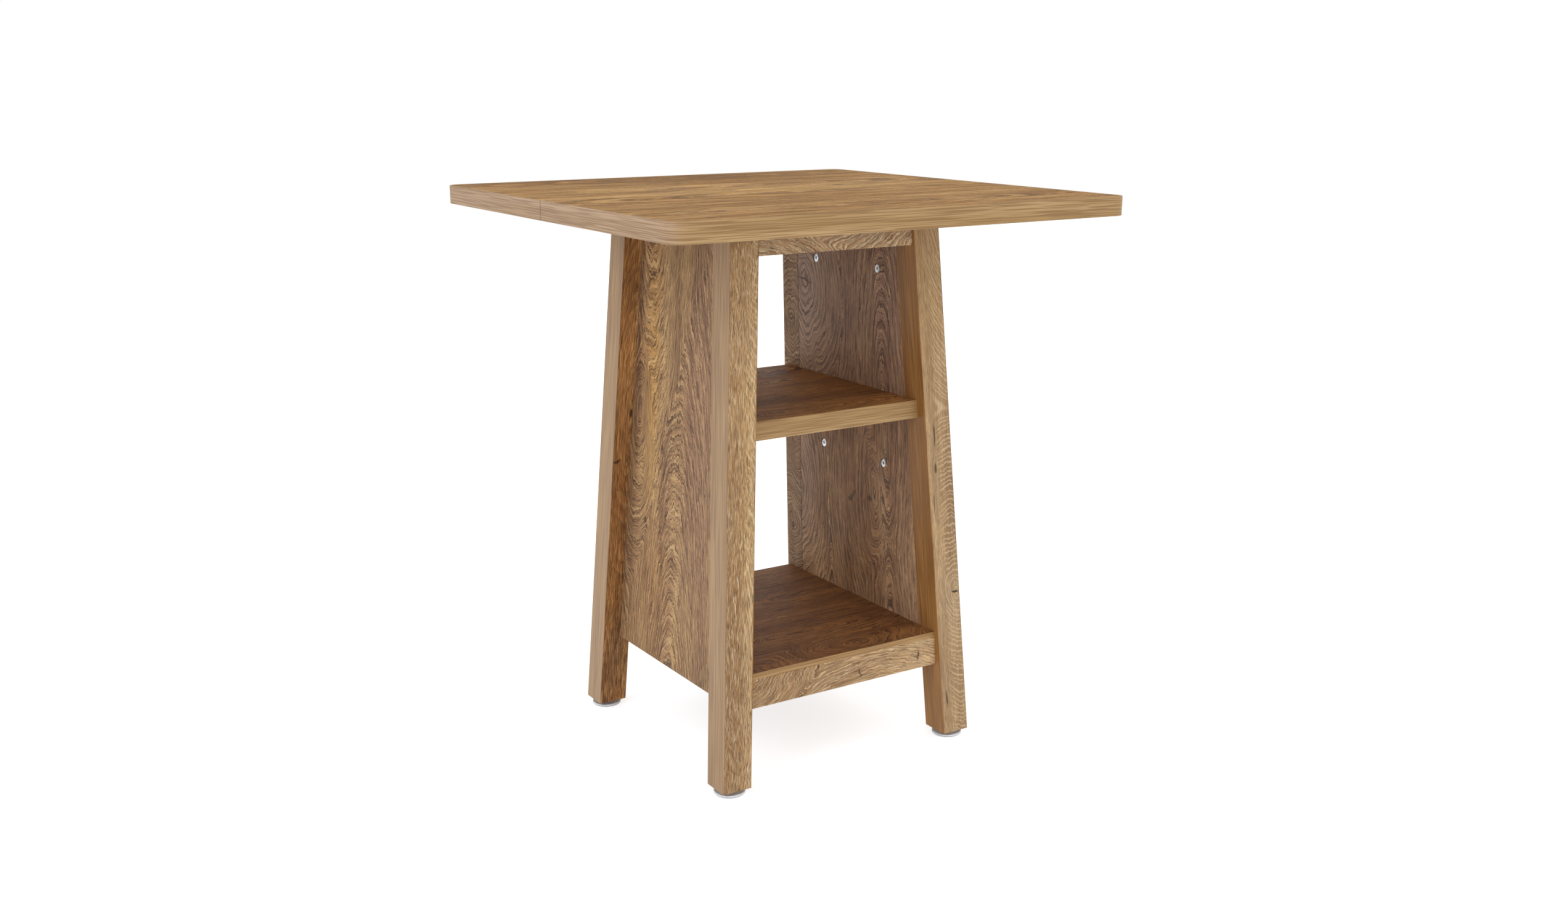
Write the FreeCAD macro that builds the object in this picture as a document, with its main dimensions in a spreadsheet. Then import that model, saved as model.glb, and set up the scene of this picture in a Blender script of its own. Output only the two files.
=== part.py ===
# Square bar table in laminated board: four legs splayed both ways, a side panel between
# each pair of legs, two open bays and four levelling feet on threaded studs.
# Millimetres.  +X runs along the front edge, +Y to the rear, +Z up.
# The origin lies on the floor under the middle of the table.
import FreeCAD
import Part
import Sketcher
import os

# Driving dimensions.  A name that ends in share is a ratio, every other value is a length.
SIZES = {
    # Whole table
    "overall_height": "912",
    # Top board and the band wrapped round its edge
    "top_length": "800",
    "top_depth": "800",
    "top_thickness": "30",
    "top_corner_radius": "24",
    "top_corner_ease": "1",
    "top_band_thickness": "2",
    "top_band_joint_place": "11.5",
    "top_band_joint_gap": "0.5",
    # Legs: square section, leaning outwards by the splay share of their drop, both ways
    "leg_spread": "191",
    "leg_side": "50",
    "leg_splay_share": "0.0567",
    "leg_band_thickness": "1",
    # Side panels
    "panel_thickness": "18",
    # Rails
    "rail_thickness": "18",
    "top_rail_height": "50",
    "top_rail_setback": "2.5",
    "bottom_rail_height": "48",
    # Shelves, each named by the level of its upper face
    "middle_shelf_level": "581",
    "middle_shelf_thickness": "30",
    "middle_shelf_depth": "380",
    "bottom_shelf_level": "189.5",
    "bottom_shelf_thickness": "10",
    "bottom_shelf_depth": "442",
    "shelf_band_thickness": "1",
    # Cam fasteners: a cross-slotted cam in a blind pocket draws in a steel bolt
    "cam_diameter": "15",
    "cam_pocket_depth": "13",
    "cam_recess": "1",
    "cam_height": "11.5",
    "cam_mouth_width": "8",
    "cam_mouth_height": "7",
    "cam_cross_length": "7",
    "cam_cross_width": "1.6",
    "cam_cross_depth": "2.4",
    "cam_spacing": "180",
    "cam_drop": "97",
    "cam_bolt_diameter": "6",
    "cam_bolt_hold": "3",
    "cam_bolt_reach": "30",
    # Levelling feet: a sole under a moulded pad, and a stud with a hexagon collar
    "sole_diameter": "48",
    "sole_thickness": "1.2",
    "pad_diameter": "50",
    "pad_height": "3",
    "stud_diameter": "8",
    "stud_length": "25",
    "collar_width": "13",
    "collar_height": "5.8",
    "pivot_diameter": "6",
    "pivot_length": "2",
    "pivot_gap": "0.3",
    "running_gap": "0.05",
    # Threaded sleeves let into the leg ends
    "insert_diameter": "10.4",
    "insert_length": "26",
    "insert_bore_extra": "10",
    # Clearance round hidden fasteners and at their ends, and the overrun of every cut
    "fit_gap": "0.3",
    "end_gap": "0.5",
    "overrun": "5",
}

# Places worked out from the driving dimensions.
PLACES = {
    "underside_level": "Sizes.overall_height - Sizes.top_thickness",
    "leg_bottom_level": "Sizes.sole_thickness + Sizes.pad_height + Sizes.collar_height",
    "leg_inner_spread": "Sizes.leg_spread - Sizes.leg_side",
    "top_rail_low": "Sizes.overall_height - Sizes.top_thickness - Sizes.top_rail_height",
    "top_rail_face": "Sizes.leg_spread - Sizes.top_rail_setback",
    "middle_shelf_low": "Sizes.middle_shelf_level - Sizes.middle_shelf_thickness",
    "bottom_shelf_low": "Sizes.bottom_shelf_level - Sizes.bottom_shelf_thickness",
    "bottom_rail_low": (
        "Sizes.bottom_shelf_level - Sizes.bottom_shelf_thickness - Sizes.bottom_rail_height"
    ),
    "bottom_rail_face": "Sizes.bottom_shelf_depth / 2",
    "splay_angle": "atan(Sizes.leg_splay_share)",
}

# Side of the middle planes on which each corner lies.
CORNERS = {
    "front_left": (-1, -1),
    "front_right": (1, -1),
    "rear_left": (-1, 1),
    "rear_right": (1, 1),
}

# Origin plane square to each axis, and the sense of a sketch's own normal along that axis.
PLANE_ROLES = {"X": "YZ_Plane", "Y": "XZ_Plane", "Z": "XY_Plane"}
NORMAL_SENSES = {"X": 1, "Y": -1, "Z": 1}

doc = FreeCAD.newDocument("BarTable")
sizes = doc.addObject("Spreadsheet::Sheet", "Sizes")
for row, (alias, text) in enumerate(SIZES.items(), start=1):
    sizes.set(f"A{row}", alias)
    sizes.set(f"B{row}", text)
    sizes.setAlias(f"B{row}", alias)
doc.recompute()
places = doc.addObject("Spreadsheet::Sheet", "Places")
for row, (alias, formula) in enumerate(PLACES.items(), start=1):
    places.set(f"A{row}", alias)
    places.set(f"B{row}", f"={formula}")
    places.setAlias(f"B{row}", alias)
doc.recompute()

nodes = []


def evaluate(expression):
    """Number that an expression on the sheets gives now."""
    value = sizes.evalExpression(expression)
    return float(getattr(value, "Value", value))


def signed(side, expression):
    """Expression on the chosen side of a middle plane."""
    return expression if side > 0 else f"(-1 * {expression})"


def outer_face(level):
    """Distance of the legs' outer faces from the middle planes at a level."""
    return f"(Sizes.leg_spread + Sizes.leg_splay_share * (Places.underside_level - {level}))"


def inner_face(level):
    """Distance of the legs' inner faces from the middle planes at a level."""
    return (
        f"(Places.leg_inner_spread + Sizes.leg_splay_share * (Places.underside_level - {level}))"
    )


def start_body(label):
    """New body, which becomes the node of that name."""
    body = doc.addObject("PartDesign::Body", label)
    body.Label = label
    nodes.append(body)
    return body


def origin_plane(body, axis):
    """The body's own origin plane square to an axis."""
    role = PLANE_ROLES[axis]
    return next(plane for plane in body.Origin.OriginFeatures if plane.Role == role)


def start_sketch(body, axis, place):
    """Sketch square to an axis, at a place along it."""
    sketch = body.newObject("Sketcher::SketchObject", f"{body.Label}_outline")
    sketch.AttachmentSupport = [(origin_plane(body, axis), "")]
    sketch.MapMode = "FlatFace"
    offset = signed(NORMAL_SENSES[axis], f"({place})")
    sketch.setExpression("AttachmentOffset.Base.z", offset)
    return sketch


def pin_point(sketch, geometry, vertex, across, along):
    """Ties a point of the sketch to two expressions, measured from the sketch's origin."""
    for kind, expression in (("DistanceX", across), ("DistanceY", along)):
        value = evaluate(expression)
        constraint = Sketcher.Constraint(kind, -1, 1, geometry, vertex, value)
        index = sketch.addConstraint(constraint)
        sketch.setExpression(f"Constraints[{index}]", expression)


def draw_polygon(sketch, points):
    """Closed outline through points given as pairs of expressions."""
    first = sketch.GeometryCount
    corners = [FreeCAD.Vector(evaluate(across), evaluate(along), 0) for across, along in points]
    followers = corners[1:] + corners[:1]
    for corner, follower in zip(corners, followers):
        sketch.addGeometry(Part.LineSegment(corner, follower), False)
    last = sketch.GeometryCount - 1
    for index in range(first, last + 1):
        follower = index + 1 if index < last else first
        sketch.addConstraint(Sketcher.Constraint("Coincident", index, 2, follower, 1))
    for index, (across, along) in enumerate(points, start=first):
        pin_point(sketch, index, 1, across, along)


def draw_rectangle(sketch, left, right, low, high):
    """Closed rectangle between four expressions."""
    draw_polygon(sketch, [(left, low), (right, low), (right, high), (left, high)])


def draw_circle(sketch, across, along, diameter):
    """Circle with its centre and diameter tied to expressions."""
    geometry = sketch.GeometryCount
    centre = FreeCAD.Vector(evaluate(across), evaluate(along), 0)
    radius = evaluate(diameter) / 2
    sketch.addGeometry(Part.Circle(centre, FreeCAD.Vector(0, 0, 1), radius), False)
    pin_point(sketch, geometry, 3, across, along)
    index = sketch.addConstraint(Sketcher.Constraint("Diameter", geometry, evaluate(diameter)))
    sketch.setExpression(f"Constraints[{index}]", diameter)


def add_pad(body, sketch, axis, toward, length):
    """Pads a sketch towards the chosen end of its axis."""
    pad = body.newObject("PartDesign::Pad", f"{body.Label}_pad")
    pad.Profile = sketch
    pad.Reversed = toward != NORMAL_SENSES[axis]
    pad.setExpression("Length", length)
    doc.recompute()
    return pad


def add_cut(body, sketch, axis, toward, depth):
    """Cuts a sketch into the body towards the chosen end of its axis."""
    before = body.Shape.Volume
    pocket = body.newObject("PartDesign::Pocket", f"{body.Label}_cut")
    pocket.Profile = sketch
    pocket.Reversed = toward == NORMAL_SENSES[axis]
    pocket.setExpression("Length", depth)
    doc.recompute()
    if not body.Shape.Volume < before:
        raise RuntimeError(f"{body.Label}: a cut removes nothing")
    return pocket


def pad_round(body, axis, start, toward, across, along, diameter, length):
    """Round bar along an axis."""
    sketch = start_sketch(body, axis, start)
    draw_circle(sketch, across, along, diameter)
    return add_pad(body, sketch, axis, toward, length)


def bore(body, axis, face, toward, across, along, diameter, depth):
    """Round hole from a face into the body, started outside the face by the overrun."""
    start = f"({face} - {toward} * Sizes.overrun)"
    sketch = start_sketch(body, axis, start)
    draw_circle(sketch, across, along, diameter)
    return add_cut(body, sketch, axis, toward, f"({depth} + Sizes.overrun)")


def mirror_both_ways(body):
    """Copies what the body holds to the other three quarters of the table."""
    for axis in ("X", "Y"):
        mirrored = body.newObject("PartDesign::Mirrored", f"{body.Label}_mirror")
        mirrored.TransformMode = "Whole shape"
        mirrored.MirrorPlane = (origin_plane(body, axis), [""])
        body.Tip = mirrored
        doc.recompute()


def round_upright_edges(body, half_length, half_depth, radius):
    """Rounds the upright edges that stand at the corners of a rectangle."""
    length = evaluate(half_length)
    depth = evaluate(half_depth)
    names = []
    for index, edge in enumerate(body.Shape.Edges, start=1):
        ends = [vertex.Point for vertex in edge.Vertexes]
        corners = [
            abs(abs(end.x) - length) < Part.Precision.confusion()
            and abs(abs(end.y) - depth) < Part.Precision.confusion()
            for end in ends
        ]
        if len(ends) == 2 and all(corners) and ends[0].sub(ends[1]).z != 0:
            names.append(f"Edge{index}")
    base = body.Tip
    fillet = body.newObject("PartDesign::Fillet", f"{body.Label}_corners")
    fillet.Base = (base, names)
    fillet.setExpression("Radius", radius)
    doc.recompute()


HOLE_OF_BOLT = "(Sizes.cam_bolt_diameter + 2 * Sizes.fit_gap)"
HOLE_OF_CAM = "(Sizes.cam_diameter + 2 * Sizes.fit_gap)"
CAM_PLACE = "(Sizes.cam_spacing / 2)"
CAM_LEVELS = [
    "(Places.underside_level - Sizes.cam_drop)",
    "(Places.middle_shelf_low - Sizes.cam_drop)",
]
FOOT_PLACE = f"({outer_face('Places.leg_bottom_level')} - Sizes.leg_side / 2)"


def panel_middle(level):
    """Distance of a side panel's mid-thickness from the middle plane at a level."""
    return f"({inner_face(level)} + Sizes.panel_thickness / 2)"


def make_top_board():
    """Board of the top, a little rounder at its corners than the band round it."""
    body = start_body("top_board")
    half_length = "(Sizes.top_length / 2 - Sizes.top_band_thickness)"
    half_depth = "(Sizes.top_depth / 2 - Sizes.top_band_thickness)"
    sketch = start_sketch(body, "Z", "Places.underside_level")
    draw_rectangle(
        sketch, signed(-1, half_length), half_length, signed(-1, half_depth), half_depth
    )
    add_pad(body, sketch, "Z", 1, "Sizes.top_thickness")
    radius = "Sizes.top_corner_radius - Sizes.top_band_thickness + Sizes.top_corner_ease"
    round_upright_edges(body, half_length, half_depth, radius)


def make_top_edge_band():
    """Band bent round the top's edge, whose ends meet with a fine gap on the left side."""
    body = start_body("top_edge_band")
    half_length = "(Sizes.top_length / 2)"
    half_depth = "(Sizes.top_depth / 2)"
    sketch = start_sketch(body, "Z", "Places.underside_level")
    draw_rectangle(
        sketch, signed(-1, half_length), half_length, signed(-1, half_depth), half_depth
    )
    add_pad(body, sketch, "Z", 1, "Sizes.top_thickness")
    inner_length = "(Sizes.top_length / 2 - Sizes.top_band_thickness)"
    inner_depth = "(Sizes.top_depth / 2 - Sizes.top_band_thickness)"
    sketch = start_sketch(body, "Z", "Places.underside_level - Sizes.overrun")
    draw_rectangle(
        sketch, signed(-1, inner_length), inner_length, signed(-1, inner_depth), inner_depth
    )
    add_cut(body, sketch, "Z", 1, "Sizes.top_thickness + 2 * Sizes.overrun")
    inner_radius = "Sizes.top_corner_radius - Sizes.top_band_thickness"
    round_upright_edges(body, inner_length, inner_depth, inner_radius)
    round_upright_edges(body, half_length, half_depth, "Sizes.top_corner_radius")
    sketch = start_sketch(body, "Z", "Places.underside_level - Sizes.overrun")
    draw_rectangle(
        sketch,
        "(0 - Sizes.top_length / 2 - Sizes.overrun)",
        "(0 - Sizes.top_length / 2 + Sizes.top_band_thickness + Sizes.top_band_joint_gap)",
        "(Sizes.top_band_joint_place - Sizes.top_band_joint_gap / 2)",
        "(Sizes.top_band_joint_place + Sizes.top_band_joint_gap / 2)",
    )
    add_cut(body, sketch, "Z", 1, "Sizes.top_thickness + 2 * Sizes.overrun")


def make_leaning_bar(label, side_x, side_y, near_x, far_x):
    """Bar of the leg's depth that leans outwards both ways, from the leg's foot to the top."""
    body = start_body(label)
    sketch = start_sketch(body, "Z", "Places.leg_bottom_level")
    near_y = inner_face("Places.leg_bottom_level")
    far_y = outer_face("Places.leg_bottom_level")
    draw_rectangle(
        sketch,
        signed(side_x, near_x), signed(side_x, far_x),
        signed(side_y, near_y), signed(side_y, far_y),
    )
    pad = add_pad(body, sketch, "Z", 1, "Places.underside_level - Places.leg_bottom_level")
    pad.UseCustomVector = True
    pad.AlongSketchNormal = True
    pad.Direction = FreeCAD.Vector(0, 0, 1)
    pad.setExpression("Direction.x", signed(-side_x, "Sizes.leg_splay_share"))
    pad.setExpression("Direction.y", signed(-side_y, "Sizes.leg_splay_share"))
    doc.recompute()
    return body


def make_leg(corner, side_x, side_y):
    """Leg core with its holes, and the two bands on the faces that look sideways."""
    foot_level = "Places.leg_bottom_level"
    inner = inner_face(foot_level)
    outer = outer_face(foot_level)
    core_inner = f"({inner} + Sizes.leg_band_thickness)"
    core_outer = f"({outer} - Sizes.leg_band_thickness)"
    core = make_leaning_bar(f"leg_{corner}", side_x, side_y, core_inner, core_outer)
    make_leaning_bar(f"leg_{corner}_inner_band", side_x, side_y, inner, core_inner)
    make_leaning_bar(f"leg_{corner}_outer_band", side_x, side_y, core_outer, outer)
    for level in CAM_LEVELS:
        bore(
            core, "Y", signed(side_y, inner_face(level)), side_y,
            signed(side_x, panel_middle(level)), level,
            HOLE_OF_BOLT, "Sizes.cam_bolt_reach + Sizes.end_gap",
        )
    bore(
        core, "Z", foot_level, 1,
        signed(side_x, FOOT_PLACE), signed(side_y, FOOT_PLACE),
        "(Sizes.insert_diameter + 2 * Sizes.fit_gap)",
        "(Sizes.insert_length + Sizes.insert_bore_extra)",
    )


def make_side_panel(label, side):
    """Panel flush with the legs' inner faces, wider towards its lower edge."""
    body = start_body(label)
    low = "Places.bottom_rail_low"
    high = "Places.underside_level"
    reach = f"({inner_face(low)} + Sizes.overrun)"
    sketch = start_sketch(body, "Y", f"(0 - {reach})")
    draw_polygon(
        sketch,
        [
            (signed(side, inner_face(low)), low),
            (signed(side, f"({inner_face(low)} + Sizes.panel_thickness)"), low),
            (signed(side, f"({inner_face(high)} + Sizes.panel_thickness)"), high),
            (signed(side, inner_face(high)), high),
        ],
    )
    add_pad(body, sketch, "Y", 1, f"(2 * {reach})")
    below = f"({low} - Sizes.overrun)"
    above = f"({high} + Sizes.overrun)"
    start = signed(side, f"({inner_face(high)} - Sizes.overrun)")
    width = f"({inner_face(low)} - {inner_face(high)} + Sizes.panel_thickness + 2 * Sizes.overrun)"
    for side_y in (-1, 1):
        sketch = start_sketch(body, "X", start)
        draw_polygon(
            sketch,
            [
                (signed(side_y, inner_face(below)), below),
                (signed(side_y, f"({reach} + Sizes.overrun)"), below),
                (signed(side_y, f"({reach} + Sizes.overrun)"), above),
                (signed(side_y, inner_face(above)), above),
            ],
        )
        add_cut(body, sketch, "X", side, width)
    for side_y in (-1, 1):
        bore_side_panel(body, side, side_y)


def bore_side_panel(body, side, side_y):
    """Cam pockets and bolt holes in one half of a side panel."""
    for level in CAM_LEVELS:
        sketch = start_cam_sketch(body, side, side_y, level)
        draw_circle(sketch, "0", "0", HOLE_OF_CAM)
        add_cut(body, sketch, "X", side, "Sizes.cam_pocket_depth")
        bore(
            body, "Y", signed(side_y, inner_face(level)), -side_y,
            signed(side, panel_middle(level)), level,
            HOLE_OF_BOLT, f"({inner_face(level)} - {CAM_PLACE})",
        )


def start_cam_sketch(body, side, side_y, level):
    """Sketch on the slanted inner face of a side panel, its origin at a cam's middle."""
    sketch = start_sketch(body, "X", signed(side, inner_face(level)))
    sketch.AttachmentOffset = FreeCAD.Placement(
        FreeCAD.Vector(0, 0, 0), FreeCAD.Rotation(FreeCAD.Vector(1, 0, 0), 0)
    )
    sketch.setExpression("AttachmentOffset.Base.x", signed(side_y, CAM_PLACE))
    sketch.setExpression("AttachmentOffset.Base.y", level)
    sketch.setExpression("AttachmentOffset.Rotation.Angle", signed(-side, "Places.splay_angle"))
    return sketch


def draw_cross(sketch):
    """Cross-shaped outline of a driver's recess, round the sketch's origin."""
    arm = "(Sizes.cam_cross_length / 2)"
    half = "(Sizes.cam_cross_width / 2)"
    quarter = [(arm, half), (half, half), (half, arm)]
    points = []
    for side_x, side_y in ((1, 1), (-1, 1), (-1, -1), (1, -1)):
        corners = quarter if side_x == side_y else quarter[::-1]
        points.extend((signed(side_x, x), signed(side_y, y)) for x, y in corners)
    draw_polygon(sketch, points)


def make_board(label, low, high, side_y, start, length):
    """Board between the legs, its ends cut to their slant, padded from a start in Y."""
    body = start_body(label)
    sketch = start_sketch(body, "Y", start)
    draw_polygon(
        sketch,
        [
            (signed(-1, inner_face(low)), low),
            (inner_face(low), low),
            (inner_face(high), high),
            (signed(-1, inner_face(high)), high),
        ],
    )
    add_pad(body, sketch, "Y", side_y, length)


def make_rail(label, side_y, low, high, face):
    """Rail between two legs, with its outer face at a distance from the middle plane."""
    start = signed(side_y, f"({face} - Sizes.rail_thickness)")
    make_board(label, low, high, side_y, start, "Sizes.rail_thickness")


def make_shelf(label, low, high, depth):
    """Shelf board with a thin band along its front and rear edges."""
    half = f"({depth} / 2 - Sizes.shelf_band_thickness)"
    make_board(label, low, high, 1, signed(-1, half), f"(2 * {half})")
    for side_y, name in ((-1, "front"), (1, "rear")):
        make_board(
            f"{label}_{name}_band", low, high, side_y,
            signed(side_y, half), "Sizes.shelf_band_thickness",
        )


def make_panel_cams():
    """Cams in the side panels, each with a driver's cross and a side mouth for its bolt."""
    body = start_body("panel_cams")
    for level in CAM_LEVELS:
        sketch = start_cam_sketch(body, 1, 1, level)
        draw_circle(sketch, "0", "0", "Sizes.cam_diameter")
        sketch.setExpression(
            "AttachmentOffset.Base.z", f"({inner_face(level)} + Sizes.cam_recess)"
        )
        add_pad(body, sketch, "X", 1, "Sizes.cam_height")
    for level in CAM_LEVELS:
        sketch = start_cam_sketch(body, 1, 1, level)
        draw_cross(sketch)
        add_cut(body, sketch, "X", 1, "(Sizes.cam_recess + Sizes.cam_cross_depth)")
        middle = panel_middle(level)
        sketch = start_sketch(body, "Y", f"({CAM_PLACE} - Sizes.cam_bolt_hold)")
        draw_rectangle(
            sketch,
            f"({middle} - Sizes.cam_mouth_width / 2)", f"({middle} + Sizes.cam_mouth_width / 2)",
            f"({level} - Sizes.cam_mouth_height / 2)", f"({level} + Sizes.cam_mouth_height / 2)",
        )
        add_cut(body, sketch, "Y", 1, "Sizes.cam_diameter")
    mirror_both_ways(body)


def make_panel_cam_bolts():
    """Steel bolts from the cams, through the side panels' edges, into the legs."""
    body = start_body("panel_cam_bolts")
    for level in CAM_LEVELS:
        start = f"({CAM_PLACE} + Sizes.cam_bolt_hold)"
        length = f"({inner_face(level)} - {start} + Sizes.cam_bolt_reach)"
        pad_round(
            body, "Y", start, 1, panel_middle(level), level, "Sizes.cam_bolt_diameter", length
        )
    mirror_both_ways(body)


def make_leg_inserts():
    """Sleeves let into the leg ends, bored for the feet's studs."""
    body = start_body("leg_inserts")
    low = "Places.leg_bottom_level"
    pad_round(
        body, "Z", low, 1, FOOT_PLACE, FOOT_PLACE, "Sizes.insert_diameter", "Sizes.insert_length"
    )
    bore(
        body, "Z", low, 1, FOOT_PLACE, FOOT_PLACE,
        "(Sizes.stud_diameter + 2 * Sizes.running_gap)",
        "(Sizes.insert_length + Sizes.overrun)",
    )
    mirror_both_ways(body)


def turn_profile(body, points):
    """Turns an outline of radius and height pairs round the body's own upright axis."""
    sketch = start_sketch(body, "Y", "0")
    draw_polygon(sketch, points)
    revolution = body.newObject("PartDesign::Revolution", f"{body.Label}_turning")
    revolution.Profile = sketch
    revolution.ReferenceAxis = (sketch, ["V_Axis"])
    doc.recompute()


def place_at_foot(body, side_x, side_y):
    """Stands a turned body on the floor under its leg."""
    body.setExpression("Placement.Base.x", signed(side_x, FOOT_PLACE))
    body.setExpression("Placement.Base.y", signed(side_y, FOOT_PLACE))


def make_foot(corner, side_x, side_y):
    """Levelling foot: rubber sole, moulded pad, and a stud that turns in the pad."""
    sole_radius = "(Sizes.sole_diameter / 2)"
    pad_radius = "(Sizes.pad_diameter / 2)"
    socket_radius = "(Sizes.pivot_diameter / 2 + Sizes.running_gap)"
    pivot_radius = "(Sizes.pivot_diameter / 2)"
    shaft_radius = "(Sizes.stud_diameter / 2)"
    low = "Sizes.sole_thickness"
    pad_top = f"({low} + Sizes.pad_height)"
    pivot_end = f"({pad_top} - Sizes.pivot_length)"
    socket_floor = f"({pivot_end} - Sizes.pivot_gap)"
    tip = "(Places.leg_bottom_level + Sizes.stud_length)"
    sole = start_body(f"foot_sole_{corner}")
    turn_profile(sole, [("0", "0"), (sole_radius, "0"), (sole_radius, low), ("0", low)])
    pad = start_body(f"foot_pad_{corner}")
    turn_profile(
        pad,
        [
            ("0", low),
            (pad_radius, low),
            (pad_radius, pad_top),
            (socket_radius, pad_top),
            (socket_radius, socket_floor),
            ("0", socket_floor),
        ],
    )
    stud = start_body(f"foot_stud_{corner}")
    turn_profile(
        stud,
        [
            ("0", pivot_end),
            (pivot_radius, pivot_end),
            (pivot_radius, pad_top),
            (shaft_radius, pad_top),
            (shaft_radius, tip),
            ("0", tip),
        ],
    )
    sketch = start_sketch(stud, "Z", pad_top)
    corner_radius = "Sizes.collar_width / 2 / cos(30)"
    draw_polygon(
        sketch,
        [
            (f"({corner_radius} * cos({turn}))", f"({corner_radius} * sin({turn}))")
            for turn in range(0, 360, 60)
        ],
    )
    add_pad(stud, sketch, "Z", 1, "Sizes.collar_height")
    for body in (sole, pad, stud):
        place_at_foot(body, side_x, side_y)


def check_model():
    """Stops the run when an object failed or a node's shape is missing or invalid."""
    doc.recompute()
    for item in doc.Objects:
        if "Invalid" in item.State or "Error" in item.State:
            raise RuntimeError(f"{item.Label}: {item.State}")
    for node in nodes:
        if node.Shape.isNull() or not node.Shape.isValid():
            raise RuntimeError(f"{node.Label}: no valid shape")


make_top_board()
make_top_edge_band()
for corner_name, (corner_x, corner_y) in CORNERS.items():
    make_leg(corner_name, corner_x, corner_y)
for panel_name, panel_side in (("side_panel_left", -1), ("side_panel_right", 1)):
    make_side_panel(panel_name, panel_side)
for rail_name, rail_side in (("front", -1), ("rear", 1)):
    make_rail(
        f"top_rail_{rail_name}", rail_side,
        "Places.top_rail_low", "Places.underside_level", "Places.top_rail_face",
    )
    make_rail(
        f"bottom_rail_{rail_name}", rail_side,
        "Places.bottom_rail_low", "Places.bottom_shelf_low", "Places.bottom_rail_face",
    )
make_shelf(
    "middle_shelf", "Places.middle_shelf_low", "Sizes.middle_shelf_level",
    "Sizes.middle_shelf_depth",
)
make_shelf(
    "bottom_shelf", "Places.bottom_shelf_low", "Sizes.bottom_shelf_level",
    "Sizes.bottom_shelf_depth",
)
make_panel_cams()
make_panel_cam_bolts()
make_leg_inserts()
for corner_name, (corner_x, corner_y) in CORNERS.items():
    make_foot(corner_name, corner_x, corner_y)

check_model()
os.makedirs("parts", exist_ok=True)
for node in nodes:
    node.Shape.exportStep(f"parts/{node.Label}.step")
    print(node.Label, len(node.Shape.Solids), round(node.Shape.Volume, 1))
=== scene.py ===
"""Dresses the bar table's fixed frame: oak decor boards, edge bands, cams and levelling feet."""

import logging
import math
from dataclasses import dataclass, field
from enum import Enum
from typing import Any, Callable, Iterable

import bmesh
import bpy
from mathutils import Matrix, Vector


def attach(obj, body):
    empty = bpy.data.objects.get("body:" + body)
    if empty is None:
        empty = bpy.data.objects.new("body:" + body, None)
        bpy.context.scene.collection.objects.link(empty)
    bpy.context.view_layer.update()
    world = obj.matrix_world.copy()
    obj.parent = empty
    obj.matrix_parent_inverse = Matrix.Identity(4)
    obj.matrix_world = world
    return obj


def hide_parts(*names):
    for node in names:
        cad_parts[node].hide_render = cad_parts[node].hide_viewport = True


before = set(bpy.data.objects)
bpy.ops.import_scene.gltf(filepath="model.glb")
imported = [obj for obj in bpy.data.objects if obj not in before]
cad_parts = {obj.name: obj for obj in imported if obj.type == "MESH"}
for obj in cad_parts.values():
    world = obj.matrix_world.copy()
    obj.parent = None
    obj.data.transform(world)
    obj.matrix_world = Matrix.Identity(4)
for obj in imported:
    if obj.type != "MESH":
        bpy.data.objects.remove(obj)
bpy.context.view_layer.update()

log = logging.getLogger("bar_table")

BMesh = bmesh.types.BMesh
BMVert = bmesh.types.BMVert
BMEdge = bmesh.types.BMEdge
Material = bpy.types.Material
Socket = bpy.types.NodeSocket
Pair = tuple[float, float]
Triple = tuple[float, float, float]

MM = 0.001
SHARP = math.radians(30)
CREASE = math.radians(35)
BROAD = 4 * MM
EDGE_EASE = 0.5 * MM
BAND_EASE = 0.3 * MM
BAND_THICKNESS = 0.001
SAME_PLACE = 1e-6
# Dark colour of knots and cracks, and of the painted shadow in the joints between boards.
DARK_MARK_AND_SHADE = "#2e2019"


class Slot(Enum):
    """Material slots, by which the feet's finishes are looked up."""

    BOARD = "oak_decor_board"
    BAND = "oak_decor_band"
    ZINC = "zinc_cam"
    STEEL = "plated_steel"
    RUBBER = "rubber_sole"
    PLASTIC = "white_plastic_pad"


class Corner(Enum):
    """Corners of the base, each with its sides along X and Y."""

    FRONT_LEFT = (-1, -1)
    FRONT_RIGHT = (1, -1)
    REAR_LEFT = (-1, 1)
    REAR_RIGHT = (1, 1)

    @property
    def label(self) -> str:
        """Name of the corner as the frame's nodes have it."""
        return self.name.lower()


@dataclass(frozen=True)
class Splay:
    """Lean of the legs: where their inner faces stand at each level, in metres."""

    underside: float = 0.882
    foot_level: float = 0.010
    inner_at_top: float = 0.141
    share: float = 0.0567

    def inner(self, level: float) -> float:
        """Distance of the legs' inner faces from the middle planes at a level."""
        return self.inner_at_top + self.share * (self.underside - level)


SPLAY = Splay()


# Colours and node trees


def linear(code: str) -> tuple[float, float, float, float]:
    """Turns an sRGB hex colour to linear light.

    Args:
        code: Six hex digits after a hash.

    Returns:
        Red, green and blue in linear light, and an alpha of 1.
    """
    parts = [int(code[place : place + 2], 16) / 255 for place in (1, 3, 5)]
    light = [part / 12.92 if part <= 0.04045 else ((part + 0.055) / 1.055) ** 2.4 for part in parts]
    return (*light, 1.0)


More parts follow.
